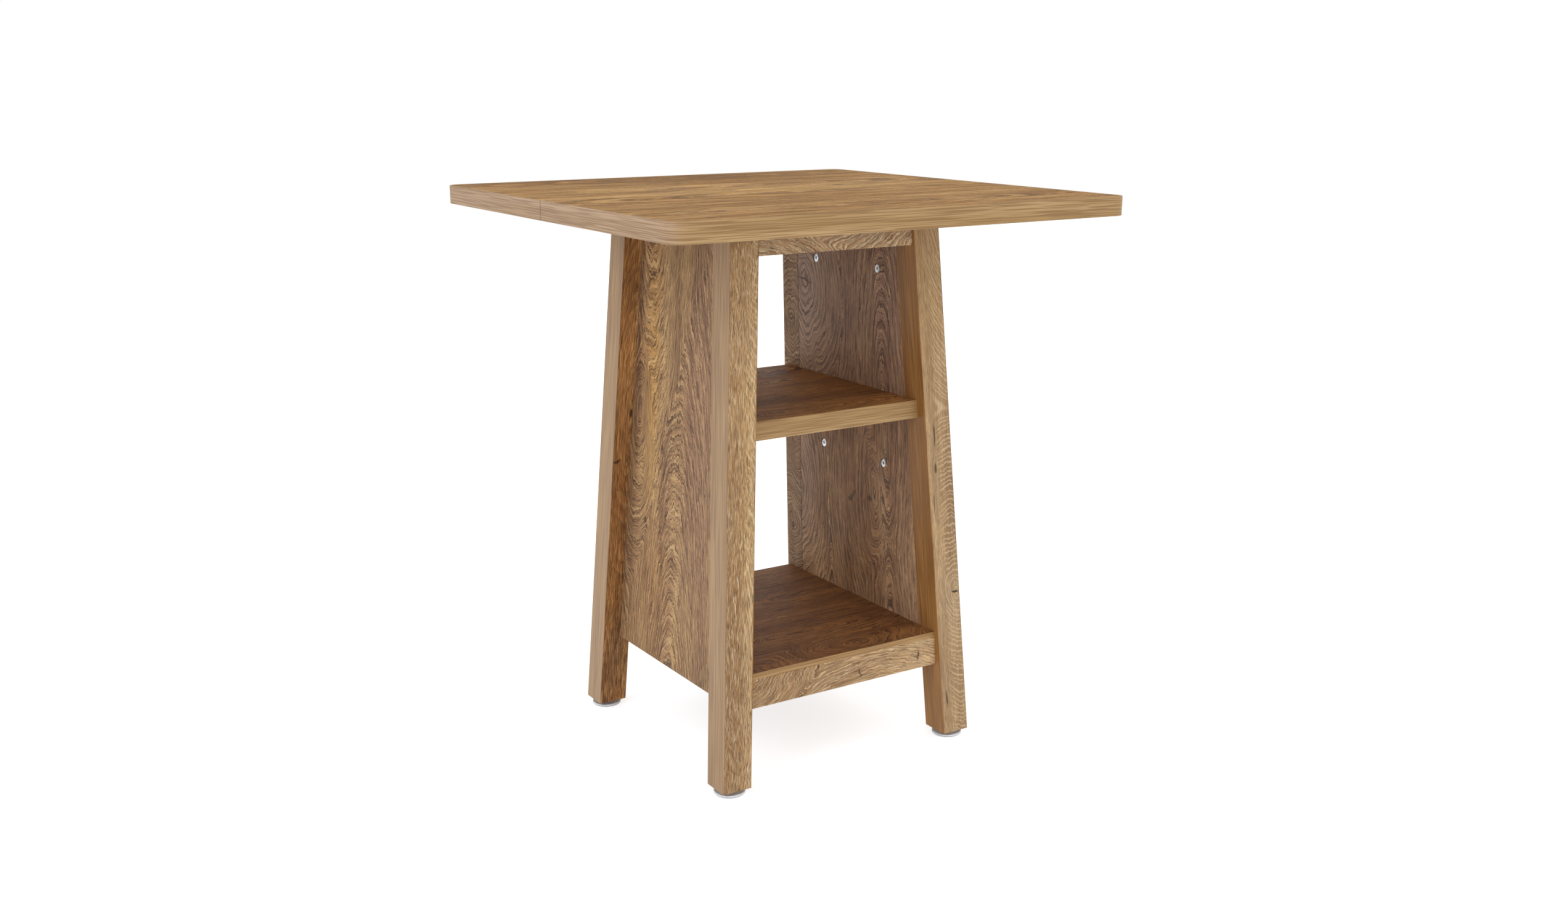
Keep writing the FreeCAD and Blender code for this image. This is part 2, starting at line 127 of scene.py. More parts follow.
class Recipe:
    """Node tree of a material or of the world while it is put together."""

    def __init__(self, owner: Material | bpy.types.World) -> None:
        """Empties a node tree.

        Args:
            owner: The material or world that the tree belongs to.
        """
        owner.use_nodes = True
        self.owner = owner
        self.tree = owner.node_tree
        self.tree.nodes.clear()

    def add(
        self,
        kind: str,
        inputs: tuple[Any, ...] | dict[int | str, Any] = (),
        output: int | str = 0,
        stops: Iterable[tuple[float, Any]] = (),
        **settings: Any,
    ) -> Socket:
        """Adds a node with its settings and links.

        Args:
            kind: Type name of the node, without its ShaderNode prefix.
            inputs: Value or linked socket for each input, in order, or by place or name.
            output: Which output is wanted.
            stops: Places and colours of a ramp, its two ends first.
            **settings: Attributes of the node.

        Returns:
            The wanted output, or the node's first input where it has no output.
        """
        node = self.tree.nodes.new("ShaderNode" + kind)
        for key, value in settings.items():
            setattr(node, key, value)
        for place, (position, colour) in enumerate(stops):
            elements = node.color_ramp.elements
            element = elements[place] if place < 2 else elements.new(position)
            element.position = position
            element.color = colour if isinstance(colour, tuple) else (colour, colour, colour, 1.0)
        for key, value in inputs.items() if isinstance(inputs, dict) else enumerate(inputs):
            if isinstance(value, Socket):
                self.tree.links.new(value, node.inputs[key])
            else:
                node.inputs[key].default_value = value
        return node.outputs[output] if node.outputs else node.inputs[0]

    def spread(
        self,
        vector: Socket,
        size: Triple,
        detail: float,
        shift: float,
        roughness: float = 0.5,
        output: str = "Fac",
    ) -> Socket:
        """Spreads a soft pattern.

        Args:
            vector: Coordinates in millimetres.
            size: How large the pattern is each way, in millimetres.
            detail: Detail of its noise.
            shift: How far it is moved, so that no two boards are alike.
            roughness: Share of the finer detail.
            output: The wanted output of the noise.

        Returns:
            Values about one half.
        """
        scale = tuple(1 / part for part in size)
        place = self.add("Mapping", {"Vector": vector, "Location": (shift,) * 3, "Scale": scale})
        noise = {"Vector": place, "Scale": 1.0, "Detail": detail, "Roughness": roughness}
        return self.add("TexNoise", noise, output)

    def measure(self, vector: Socket, middle: Pair, size: Pair) -> Socket:
        """Measures how far a point is from a middle.

        Args:
            vector: Coordinates in millimetres.
            middle: Where the middle is, along and across.
            size: Length that counts as one, along and across.

        Returns:
            The distance, in those lengths.
        """
        start = (-middle[0] / size[0], -middle[1] / size[1], 0.0)
        scale = (1 / size[0], 1 / size[1], 0.0)
        centred = {"Vector": vector, "Location": start, "Scale": scale}
        place = self.add("Mapping", centred)
        return self.add("VectorMath", (place,), "Value", operation="LENGTH")

    def lay(self, colour: Socket, layers: Iterable[tuple[Socket, str | Socket]]) -> Socket:
        """Lays colours over a colour, one after the other.

        Args:
            colour: The colour under them.
            layers: The share of each layer, and its hex colour or a linked one.

        Returns:
            The colour with all its layers.
        """
        for share, tint in layers:
            over = linear(tint) if isinstance(tint, str) else tint
            colour = self.add("Mix", {0: share, 6: colour, 7: over}, 2, data_type="RGBA")
        return colour

    def finish(self, kind: str, inputs: Any) -> Material | bpy.types.World:
        """Adds the shader and links it to the output.

        Args:
            kind: Type name of the shader.
            inputs: Its inputs, as add takes them.

        Returns:
            The finished material or world.
        """
        world = isinstance(self.owner, bpy.types.World)
        surface = {"Surface": self.add(kind, inputs)}
        self.add("OutputWorld" if world else "OutputMaterial", surface)
        return self.owner


# Finishes


@dataclass(frozen=True)
class Grain:
    """Directions of a board's print: along, across and into it, and where it starts.

    The vectors may lean with the legs. The start is subtracted, in millimetres.
    """

    along: Triple
    across: Triple
    into: Triple
    start: Triple = (0.0, 0.0, 0.0)

    def axes(self, mix: Recipe) -> list[Socket]:
        """Measures along, across and into the board.

        Args:
            mix: The material's recipe.

        Returns:
            The three distances from the start in millimetres, and all three as one vector.
        """
        place = mix.add("TexCoord", output="Object")
        axes = []
        for direction, start in zip((self.along, self.across, self.into), self.start):
            # Object coordinates are in metres and every pattern here is in millimetres.
            scaled = tuple(part / MM for part in direction)
            share = mix.add("VectorMath", (place, scaled), "Value", operation="DOT_PRODUCT")
            axes.append(mix.add("Math", (share, start), operation="SUBTRACT"))
        return [*axes, mix.add("CombineXYZ", tuple(axes))]


@dataclass(frozen=True)
class Figure:
    """One heart of the growth rings: its place and first radius in millimetres, and its stretch."""

    along: float
    across: float
    stretch: float = 5.0
    begin: float = 0.0


@dataclass(frozen=True)
class Mark:
    """A knot, crack or stain: its middle and half sizes in millimetres, its depth and colour."""

    along: float
    across: float
    half_along: float
    half_across: float
    depth: float = 0.85
    tint: str = DARK_MARK_AND_SHADE


@dataclass(frozen=True)
class Palette:
    """Colours of a print: three tones of wood, its dark lines, and its cream for flecks and painted
    highlight.
    """

    light: str = "#c9a06c"
    middle: str = "#b08757"
    dark: str = "#8e6846"
    line: str = "#46301f"
    cream: str = "#e6cb9e"


# The oak print: ramps over one ring, ranges of a soft pattern's values, millimetres and shares

RING_LINE = ((0.0, 1.0), (1.0, 1.0), (0.16, 0.7), (0.42, 0.1), (0.6, 0.0), (0.94, 0.0))
RING_RIDGE = ((0.0, 0.0), (1.0, 0.0), (0.56, 0.0), (0.68, 1.0), (0.84, 1.0), (0.96, 0.0))
RING_JAG = 3.2
SIDE_JAG = 2.4
RING_UNEVEN = 1.6
HEART_BLEND = 12.0
RIDGE_FADE = 9.0
PATTERN_STEP = 0.11
PATCH_RANGE = (0.38, 0.58)
PATCH_STRENGTH = (0.3, 1.0)
SHADE_RANGE = (0.32, 0.68)
SOFT_RANGE = (0.3, 0.7)
JOINT_RANGE = (0.7, 1.5)
STAIN_CORE = 0.2
MARK_CORE = 0.5
SPOT_EDGE = 1.2
SEED_STEP = 1.7
JAG_SIZE = (9, 4, 12)
SCRATCH_SIZE = (9, 1, 9)
PATCH_SIZE = (80, 26, 60)
TONE_SIZE = (330, 44, 90)
TONE_STOPS = (0.34, 0.66, 0.49)
STREAK_STRETCH = 18
STREAK_DEPTH = 40
BENDS = (((240, 75, 80), (50, 16, 0)), ((26, 10, 30), (7, 1.8, 0)))
PRINT_ROUGHNESS = (0.68, 0.52)


@dataclass(frozen=True)
class OakDecor:
    """Particle board faced with melamine paper, rustic oak print pressed with matching relief.

    The eye sees a printed oak, golden to dark brown, whose rings and pores are also pressed into
    the paper. Its cream flecks and ridges beside the fine dark lines are partly print and partly a
    painted highlight on that relief. The sheen is a dull satin.
    """

    name: str
    grain: Grain
    figures: tuple[Figure, ...]
    marks: tuple[Mark, ...] = ()
    stains: tuple[Mark, ...] = ()
    palette: Palette = Palette()
    ring_spacing: float = 6.0
    ring_gain: float = 0.10
    ring_shade: float = 0.16
    follow: float = 1.0
    fibre_width: float = 0.7
    fibre_length: float = 30.0
    line_share: float = 0.75
    pore_from: float = 0.50
    fleck_share: float = 0.50
    fleck_from: float = 0.52
    ridge_gain: float = 0.10
    ridge_share: float = 0.0
    grit: float = 0.16
    ridge_from: float = -1000.0
    ridge_to: float = 1000.0
    wander: float = 1.0
    jag: float = 1.0
    contrast: float = 0.12
    streak_width: float = 5.0
    joint_shade: float = 0.0
    relief: float = 0.5
    gloss: float = 0.22
    seed: float = 0.0

    def build(self) -> Material:
        """Makes the material.

        Returns:
            The material, read from the piece's Object coordinates.
        """
        mix = Recipe(bpy.data.materials.new(f"oak_decor_{self.name}"))
        shift = self.seed * SEED_STEP
        _, across, _, flat = self.grain.axes(mix)
        bent = self.bend(mix, flat)
        rings = self.count_rings(mix, bent)
        # The cut ends of the fibres make every line jagged, by half a millimetre each centimetre.
        jag = mix.spread(bent, size=JAG_SIZE, detail=1.0, shift=shift)
        jag = mix.add("Math", (jag, 0.5), operation="SUBTRACT")
        rings = mix.add("Math", (jag, RING_JAG * self.jag, rings), operation="MULTIPLY_ADD")
        run, side = (mix.add("SeparateXYZ", (bent,), axis) for axis in range(2))
        side = mix.add("Math", (jag, SIDE_JAG * self.jag, side), operation="MULTIPLY_ADD")
        side = mix.add("Mix", {0: self.follow, 2: side, 3: rings})
        flow = mix.add("CombineXYZ", (run, side, 0.0))

        # Pores are about 0.3 mm wide and 5 to 20 mm long, and are drawn coarser so that they show.
        # The channels are patterns alike, which follow the rings: dark pores and light flecks, whose
        # cream is partly print and partly a painted highlight on the pressed relief.
        fibre_size = (self.fibre_length, self.fibre_width, 1.0)
        fibre = mix.spread(flow, fibre_size, 2.0, self.seed, 0.6, "Color")
        pore, fleck = (mix.add("SeparateColor", (fibre,), channel) for channel in range(2))
        streak_size = (STREAK_STRETCH * self.streak_width, self.streak_width, STREAK_DEPTH)
        streak = mix.spread(flow, streak_size, detail=2.0, shift=shift)
        scratch = mix.spread(bent, size=SCRATCH_SIZE, detail=1.0, shift=shift)
        patch = mix.spread(flat, size=PATCH_SIZE, detail=2.0, shift=shift)
        tone = mix.spread(flat, size=TONE_SIZE, detail=3.0, shift=shift)

        # Rings are counted unevenly, and each has a dark line first and a pale ridge later, whose cream
        # is partly a painted highlight.
        count = mix.add("Math", (rings, 1 / self.ring_spacing), operation="MULTIPLY")
        uneven = {"W": count, "Scale": 0.37, "Detail": 1.0}
        uneven = mix.add("TexNoise", uneven, noise_dimensions="1D")
        count = mix.add("Math", (uneven, RING_UNEVEN, count), operation="MULTIPLY_ADD")
        phase = mix.add("Math", (count,), operation="FRACT")
        line = mix.add("ValToRGB", (phase,), stops=RING_LINE)
        ridge = mix.add("ValToRGB", (phase,), stops=RING_RIDGE)
        strong = mix.add("MapRange", (patch, *PATCH_RANGE, *PATCH_STRENGTH))
        line = mix.add("Math", (line, strong), operation="MULTIPLY")
        fades = []
        for edge, ends in ((self.ridge_from, (0.0, 1.0)), (self.ridge_to, (1.0, 0.0))):
            fade = (across, edge - RIDGE_FADE, edge + RIDGE_FADE, *ends)
            fades.append(mix.add("MapRange", fade, interpolation_type="SMOOTHSTEP"))
        inside = mix.add("Math", tuple(fades), operation="MULTIPLY")
        ridge = mix.add("Math", (ridge, inside), operation="MULTIPLY")
        patterns = []
        for shape, gain, pattern, start in (
            (line, self.ring_gain, pore, self.pore_from),
            (ridge, self.ridge_gain, fleck, self.fleck_from),
        ):
            value = mix.add("Math", (shape, gain, pattern), operation="MULTIPLY_ADD")
            patterns.append(mix.add("MapRange", (value, start, start + PATTERN_STEP)))
        sunk, raised = patterns
        crest = mix.add("Math", (ridge, self.ridge_share), operation="MULTIPLY")
        raised = mix.add("Math", (raised, crest), operation="MAXIMUM")

        tints = (self.palette.dark, self.palette.light, self.palette.middle)
        stops = tuple(zip(TONE_STOPS, map(linear, tints)))
        colour = mix.add("ValToRGB", (tone,), stops=stops)
        stains = [(self.spot(mix, bent, stain, STAIN_CORE), stain.tint) for stain in self.stains]
        colour = mix.lay(colour, stains)
        shade = mix.add("Math", (line, -self.ring_shade, 1.0), operation="MULTIPLY_ADD")
        for pattern, amount in ((streak, self.contrast), (scratch, self.grit)):
            value = mix.add("MapRange", (pattern, *SHADE_RANGE, 1 - amount, 1 + amount))
            shade = mix.add("Math", (value, shade), operation="MULTIPLY")
        shade = mix.add("CombineXYZ", (shade, shade, shade))
        colour = mix.add("VectorMath", (colour, shade), operation="MULTIPLY")
        layers = []
        # Painted highlight: cream is laid where the relief is raised, as light caught by it, over the
        # print's own flecks.
        for share, amount, tint in (
            (raised, self.fleck_share, self.palette.cream),
            (sunk, self.line_share, self.palette.line),
        ):
            layers.append((mix.add("Math", (share, amount), operation="MULTIPLY"), tint))
        for mark in self.marks:
            spot = self.spot(mix, bent, mark, MARK_CORE)
            layers.append((spot, mark.tint))
            sunk = mix.add("Math", (sunk, spot), operation="MAXIMUM")
        if self.joint_shade:
            # Painted shadow: the board next to it shades the joint, where across is nought.
            joint = mix.add("MapRange", (across, *JOINT_RANGE, self.joint_shade, 0.0))
            layers.append((joint, DARK_MARK_AND_SHADE))
        colour = mix.lay(colour, layers)

        height = mix.add("Math", (raised, sunk), operation="SUBTRACT")
        bump = mix.add("Bump", {"Height": height, "Strength": self.relief, "Distance": 0.4 * MM})
        surface = {
            "Base Color": colour,
            "Roughness": mix.add("MapRange", (fleck, *SOFT_RANGE, *PRINT_ROUGHNESS)),
            "IOR": 1.5,
            "Specular IOR Level": self.gloss,
            "Normal": bump,
        }
        return mix.finish("BsdfPrincipled", surface)

    def bend(self, mix: Recipe, flat: Socket) -> Socket:
        """Lets straight coordinates wander as grown wood does.

        Args:
            mix: The material's recipe.
            flat: The straight coordinates, in millimetres.

        Returns:
            Coordinates that wander over a hand's length and ripple over a finger's width.
        """
        bent = flat
        for size, reach in BENDS:
            drift = mix.spread(bent, size, 2.0, self.seed, output="Color")
            drift = mix.add("VectorMath", (drift, (0.5, 0.5, 0.5)), operation="SUBTRACT")
            amount = tuple(part * 2 * self.wander for part in reach)
            bent = mix.add("VectorMath", (drift, amount, bent), operation="MULTIPLY_ADD")
        return bent

    def count_rings(self, mix: Recipe, bent: Socket) -> Socket:
        """Measures how far a point is from the nearest heart of the growth rings.

        Args:
            mix: The material's recipe.
            bent: The wandering coordinates.

        Returns:
            The distance in millimetres, with hearts that run together smoothly.
        """
        rings = None
        for figure in self.figures:
            reach = mix.measure(bent, (figure.along, figure.across), (figure.stretch, 1.0))
            reach = mix.add("Math", (reach, figure.begin), operation="ADD")
            if rings is not None:
                reach = mix.add("Math", (rings, reach, HEART_BLEND), operation="SMOOTH_MIN")
            rings = reach
        return rings

    def spot(self, mix: Recipe, bent: Socket, mark: Mark, full: float) -> Socket:
        """Draws how deep the colour of a knot, a crack or a stain is.

        Args:
            mix: The material's recipe.
            bent: The wandering coordinates.
            mark: The knot, crack or stain.
            full: Share of its size over which it has its full depth.

        Returns:
            Its depth, from 0 outside it.
        """
        size = (mark.half_along, mark.half_across)
        reach = mix.measure(bent, (mark.along, mark.across), size)
        fade = (reach, full, SPOT_EDGE, mark.depth, 0.0)
        return mix.add("MapRange", fade, interpolation_type="SMOOTHSTEP")


@dataclass(frozen=True)
class EdgeBand:
    """ABS edge band, printed with straight oak grain and lacquered.

    The eye sees fine straight lines along the edge on a pale golden beige, smoother and a little
    glossier than the boards' faces. The joint is its place and how far along it shows, and the
    painted cool light on the side with the joint fades in between two places. All are in millimetres.
    """

    name: str
    grain: Grain
    palette: Palette
    joint: Pair | None = None
    fade: Pair = (-398.0, -378.0)
    faded: Triple = (1.0, 1.0, 1.0)
    dirt: str = "#4a3526"
    dirt_range: Pair = (0.5, 0.9)
    dirt_depth: float = 0.8
    tone_size: Triple = (420, 17, 420)
    line_size: Triple = (90, 1.1, 90)
    line_range: Pair = (0.44, 0.56)
    line_share: float = 0.75
    roughness: Pair = (0.50, 0.38)
    seed: float = 0.0

    def build(self) -> Material:
        """Makes the material.

        Returns:
            The material, read from the piece's Object coordinates.
        """
        mix = Recipe(bpy.data.materials.new(self.name))
        along, _, into, flat = self.grain.axes(mix)
        # Printed lines are 1 mm apart and a hand's length long, drawn 2 mm apart so that they show.
        line = mix.spread(flat, self.line_size, detail=0.0, shift=self.seed)
        wide = mix.spread(flat, self.tone_size, detail=0.0, shift=self.seed)
        tints = (self.palette.middle, self.palette.light)
        stops = tuple(zip(SOFT_RANGE, map(linear, tints)))
        colour = mix.add("ValToRGB", (wide,), stops=stops)
        dark = mix.add("MapRange", (line, *self.line_range, 0.0, self.line_share))
        colour = mix.lay(colour, [(dark, self.palette.dark)])
        if self.joint:
            # Painted light: the side with the joint faces the cool light from the left, and is tinted
            # bluer.
            side = mix.add("MapRange", (along, *self.fade, 1.0, 0.0))
            faded = mix.add("VectorMath", (colour, self.faded), operation="MULTIPLY")
            # Dirt settles where the band's ends meet, and draws a line there.
            place, limit = self.joint
            away = mix.add("Math", (into, place), operation="SUBTRACT")
            away = mix.add("Math", (away,), operation="ABSOLUTE")
            dirt = mix.add("MapRange", (away, *self.dirt_range, self.dirt_depth, 0.0))
            there = mix.add("Math", (along, limit), operation="LESS_THAN")
            dirt = mix.add("Math", (dirt, there), operation="MULTIPLY")
            colour = mix.lay(colour, [(side, faded), (dirt, self.dirt)])
        surface = {
            "Base Color": colour,
            "Roughness": mix.add("MapRange", (line, *SOFT_RANGE, *self.roughness)),
            "IOR": 1.49,
            "Specular IOR Level": 0.3,
            "Normal": mix.add("Bump", {"Height": line, "Strength": 0.25, "Distance": 0.3 * MM}),
        }
        return mix.finish("BsdfPrincipled", surface)


@dataclass(frozen=True)
class Metal:
    """Zinc as die-cast or as plating on steel, bright and slightly mottled.

    The eye sees a bright satin grey with faint cloudy patches and fine grit.
    """

    name: str
    base: str
    stain: str
    roughness: float
    stain_range: Pair = (0.35, 0.65)
    duller: float = 0.1
    brighter: float = 0.06

    def build(self) -> Material:
        """Makes the material.

        Returns:
            The material, read from the piece's Object coordinates.
        """
        mix = Recipe(bpy.data.materials.new(self.name))
        place = mix.add("TexCoord", output="Object")
        # Patches are about 3 mm across and the grit about 0.35 mm.
        patch = mix.add("TexNoise", {"Vector": place, "Scale": 330.0, "Detail": 3.0})
        grit = mix.add("TexNoise", {"Vector": place, "Scale": 1 / (0.35 * MM), "Detail": 2.0})
        stops = tuple(zip(self.stain_range, map(linear, (self.stain, self.base))))
        rough, smooth = self.roughness + self.duller, self.roughness - self.brighter
        surface = {
            "Base Color": mix.add("ValToRGB", (patch,), stops=stops),
            "Metallic": 1.0,
            "Roughness": mix.add("MapRange", (patch, *SOFT_RANGE, rough, smooth)),
            "Normal": mix.add("Bump", {"Height": grit, "Strength": 0.2, "Distance": 0.1 * MM}),
        }
        return mix.finish("BsdfPrincipled", surface)


@dataclass(frozen=True)
class Moulding:
    """Moulded plastic or rubber with a fine spark-eroded grain.

    The eye sees an even colour with slight clouding, a soft sheen and scuffs where it rubs.
    """

    name: str
    base: str
    scuffed: str
    roughness: float
    ior: float
    scuff_range: Pair = (0.42, 0.74)
    cloud_range: Pair = (0.3, 0.75)
    duller: float = 0.16

    def build(self) -> Material:
        """Makes the material.

        Returns:
            The material, read from the piece's Object coordinates.
        """
        mix = Recipe(bpy.data.materials.new(self.name))
        place = mix.add("TexCoord", output="Object")
        cloud = mix.add("TexNoise", {"Vector": place, "Scale": 160.0, "Detail": 4.0})
        # Eroded grain is about 0.1 mm, drawn at 0.4 mm to show.
        grain = mix.add("TexNoise", {"Vector": place, "Scale": 1 / (0.4 * MM), "Detail": 2.0})
        stops = tuple(zip(self.scuff_range, map(linear, (self.base, self.scuffed))))
        rough = (cloud, *self.cloud_range, self.roughness, self.roughness + self.duller)
        surface = {
            "Base Color": mix.add("ValToRGB", (cloud,), stops=stops),
            "Roughness": mix.add("MapRange", rough),
            "IOR": self.ior,
            "Normal": mix.add("Bump", {"Height": grain, "Strength": 0.25, "Distance": 0.1 * MM}),
        }
        return mix.finish("BsdfPrincipled", surface)


# Meshes


def start_block(low: Triple, high: Triple) -> BMesh:
    """Starts a shape as a box.

    Args:
        low: Its lowest corner.
        high: Its highest corner.

    Returns:
        The new shape.
    """
    low, high = Vector(low), Vector(high)
    shape = bmesh.new()
    bmesh.ops.create_cube(shape, size=1.0)
    bmesh.ops.scale(shape, vec=high - low, verts=shape.verts)
    bmesh.ops.translate(shape, vec=(low + high) / 2, verts=shape.verts)
    return shape


def sharp(edge: BMEdge) -> bool:
    """Tells whether an edge is sharp enough to be rounded."""
    return edge.calc_face_angle(0.0) > SHARP


def upright(edge: BMEdge) -> bool:
    """Tells whether an edge stands upright."""
    one, other = (vert.co for vert in edge.verts)
    return (one.xy - other.xy).length < SAME_PLACE


def ease(
    shape: BMesh,
    width: float,
    segments: int = 2,
    wanted: Callable[[BMEdge], bool] = sharp,
) -> None:
    """Rounds edges of a shape.

    Args:
        shape: The shape, changed in place.
        width: Width of the rounding.
        segments: Faces across the rounding.
        wanted: Which edges are rounded.
    """
    bmesh.ops.bevel(
        shape,
        geom=[edge for edge in shape.edges if wanted(edge)],
        offset=width,
        offset_type="OFFSET",
        affect="EDGES",
        segments=segments,
        profile=0.5,
        material=-1,
        clamp_overlap=True,
    )


def turn(profile: Iterable[Pair], steps: int = 96, turns: int = 1, rise: float = 0.0) -> BMesh:
    """Turns a profile about the Z axis.

    Args:
        profile: Radius and level of each point.
        steps: Faces round each turn.
        turns: Number of turns.
        rise: How far each turn climbs; where it doesn't, the turn is closed.

    Returns:
        The new shape.
    """
    shape = bmesh.new()
    points = [shape.verts.new((radius, 0.0, level)) for radius, level in profile]
    edges = [shape.edges.new(pair) for pair in zip(points, points[1:])]
    bmesh.ops.spin(
        shape,
        geom=points + edges,
        cent=(0, 0, 0),
        axis=(0, 0, 1),
        dvec=(0, 0, rise / steps),
        angle=math.tau * turns,
        steps=steps * turns,
        use_merge=not rise,
    )
    bmesh.ops.remove_doubles(shape, verts=shape.verts, dist=5e-6 if rise else 1e-7)
    bmesh.ops.recalc_face_normals(shape, faces=shape.faces)
    return shape


def add_rod(shape: BMesh, low: float, high: float, radii: Pair, sides: int = 48) -> None:
    """Adds a closed rod on the Z axis.

    Args:
        shape: The shape that it is added to.
        low: Level of its lower end.
        high: Level of its upper end.
        radii: Radius of its lower end and of its upper end.
        sides: Faces round it.
    """
    bmesh.ops.create_cone(
        shape,
        cap_ends=True,
        segments=sides,
        radius1=radii[0],
        radius2=radii[1],
        depth=high - low,
        matrix=Matrix.Translation((0, 0, (low + high) / 2)),
    )


def join(shape: BMesh, part: BMesh) -> None:
    """Adds a part to a shape.

    Args:
        shape: The shape that it is added to.
        part: The part, freed here.
    """
    spare = bpy.data.meshes.new("spare")
    part.to_mesh(spare)
    part.free()
    shape.from_mesh(spare)
    bpy.data.meshes.remove(spare)


def make_object(name: str, shape: BMesh, material: Material) -> bpy.types.Object:
    """Turns a shape into an object in the scene.

    Args:
        name: Name of the object.
        shape: Its shape, freed here.
        material: Its finish.

    Returns:
        The new object.
    """
    mesh = bpy.data.meshes.new(name)
    shape.to_mesh(mesh)
    shape.free()
    mesh.materials.append(material)
    made = bpy.data.objects.new(name, mesh)
    bpy.context.scene.collection.objects.link(made)
    return made


# Sub-assemblies


@dataclass
class Assembly:
    """Pieces that are made and dressed together and ride on one body."""

    body: str = field(default="table", kw_only=True)
    made: list[bpy.types.Object] = field(default_factory=list, kw_only=True)

    def add_piece(
        self,
        name: str,
        shape: BMesh,
        material: Material,
        slot: Slot,
        node: str,
        body: str | None = None,
    ) -> None:
        """Turns a shape into a dressed piece.

        Args:
            name: Name of the piece.
            shape: Its shape, freed here.
            material: Its finish.
            slot: Slot of that finish. Not used.
            node: The frame's node that it stands for.
            body: The body it rides on, where that isn't the assembly's own.
        """
        for face in shape.faces:
            # Broad faces stay flat, so that only roundings and turned faces are shaded smoothly.
            longest = max(edge.calc_length() for edge in face.edges)
            face.smooth = face.calc_area() < BROAD * longest
        for edge in shape.edges:
            edge.smooth = edge.calc_face_angle(0.0) < CREASE
        piece = make_object(name, shape, material)
        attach(piece, body or self.body)
        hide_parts(node)
        self.made.append(piece)

    def dress_node(self, node: str, material: Material) -> None:
        """Gives a node of the frame a finish and leaves its shape as it is.

        Args:
            node: Name of the node.
            material: Its finish.
        """
        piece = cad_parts[node]
        piece.data.materials.clear()
        piece.data.materials.append(material)
        self.made.append(piece)

    def eased_copy(self, node: str, shortest: float) -> BMesh:
        """Copies a node's mesh, merges it and rounds its long sharp edges.

        Args:
            node: The node that is copied.
            shortest: Length from which an edge is rounded.

        Returns:
            The new shape.
        """
        shape = bmesh.new()
        shape.from_mesh(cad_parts[node].data)
        bmesh.ops.remove_doubles(shape, verts=shape.verts, dist=SAME_PLACE)
        bmesh.ops.dissolve_limit(
            shape, angle_limit=math.radians(0.5), verts=shape.verts, edges=shape.edges
        )
        ease(shape, EDGE_EASE, wanted=lambda edge: edge.calc_length() > shortest and sharp(edge))
        return shape

    def report(self) -> None:
        """Reports each piece with its number of faces."""
        for piece in self.made:
            log.info("%s: %s, %d faces", type(self).__name__, piece.name, len(piece.data.polygons))


@dataclass
class TableTop(Assembly):
    """Square top with its edge band, whose ends meet on the left side."""

    half: float = 0.400
    low: float = 0.882
    high: float = 0.912
    corner_radius: float = 0.024
    board_corner_radius: float = 0.023
    board_corner_faces: int = 12
    band: float = 0.002
    band_corner_faces: int = 16
    joint_place: float = 0.0115
    joint_gap: float = 0.0005

    def build_slab(self, inset: float, radius: float, segments: int) -> BMesh:
        """Makes a slab with rounded corners.

        Args:
            inset: How far it stays inside the top's sides.
            radius: Radius of its corners.
            segments: Faces round each corner.

        Returns:
            The new shape.
        """
        half = self.half - inset
        shape = start_block((-half, -half, self.low), (half, half, self.high))
        ease(shape, radius, segments, upright)
        return shape

    def build_board(self) -> BMesh:
        """Makes the board inside the band.

        Returns:
            The new shape.
        """
        shape = self.build_slab(self.band, self.board_corner_radius, self.board_corner_faces)
        ease(shape, BAND_EASE)
        return shape

    def build_band(self) -> BMesh:
        """Makes the band as a wall round the board, cut where its ends meet.

        Returns:
            The new shape.
        """
        shape = self.build_slab(0.0, self.corner_radius, self.band_corner_faces)
        caps = [face for face in shape.faces if abs(face.normal.z) > 0.9]
        bmesh.ops.delete(shape, geom=caps, context="FACES_ONLY")
        bmesh.ops.recalc_face_normals(shape, faces=shape.faces)
        bmesh.ops.solidify(shape, geom=shape.faces[:], thickness=self.band)
        for side in (-1, 1):
            bmesh.ops.bisect_plane(
                shape,
                geom=shape.verts[:] + shape.edges[:] + shape.faces[:],
                plane_co=(0.0, self.joint_place + side * self.joint_gap / 2, 0.0),
                plane_no=(0.0, 1.0, 0.0),
            )
        middles = {face: face.calc_center_median() for face in shape.faces}
        gap = [
            face
            for face, middle in middles.items()
            if middle.x < 0 and abs(middle.y - self.joint_place) < self.joint_gap / 2
        ]
        bmesh.ops.delete(shape, geom=gap, context="FACES")
        open_edges = [edge for edge in shape.edges if edge.is_boundary]
        bmesh.ops.holes_fill(shape, edges=open_edges, sides=4)
        bmesh.ops.recalc_face_normals(shape, faces=shape.faces)
        ease(shape, EDGE_EASE)
        return shape

    def build(self) -> None:
        """Makes and dresses the board and the band."""
        band = EdgeBand(
            "abs_band_top",
            rail_grain(0),
            Palette("#bc9b6e", "#ac8a5c", "#88663c"),
            joint=(self.joint_place / MM, -self.half / MM + 50),
            # Painted light: the band's left side is tinted bluer for the cool light from the left.
            faded=(0.98, 1.0, 1.26),
            seed=1.0,
        )
        board = DECORS["top"].build()
        self.add_piece("top_face_board", self.build_board(), board, Slot.BOARD, "top_board")
        self.add_piece("top_rim_band", self.build_band(), band.build(), Slot.BAND, "top_edge_band")


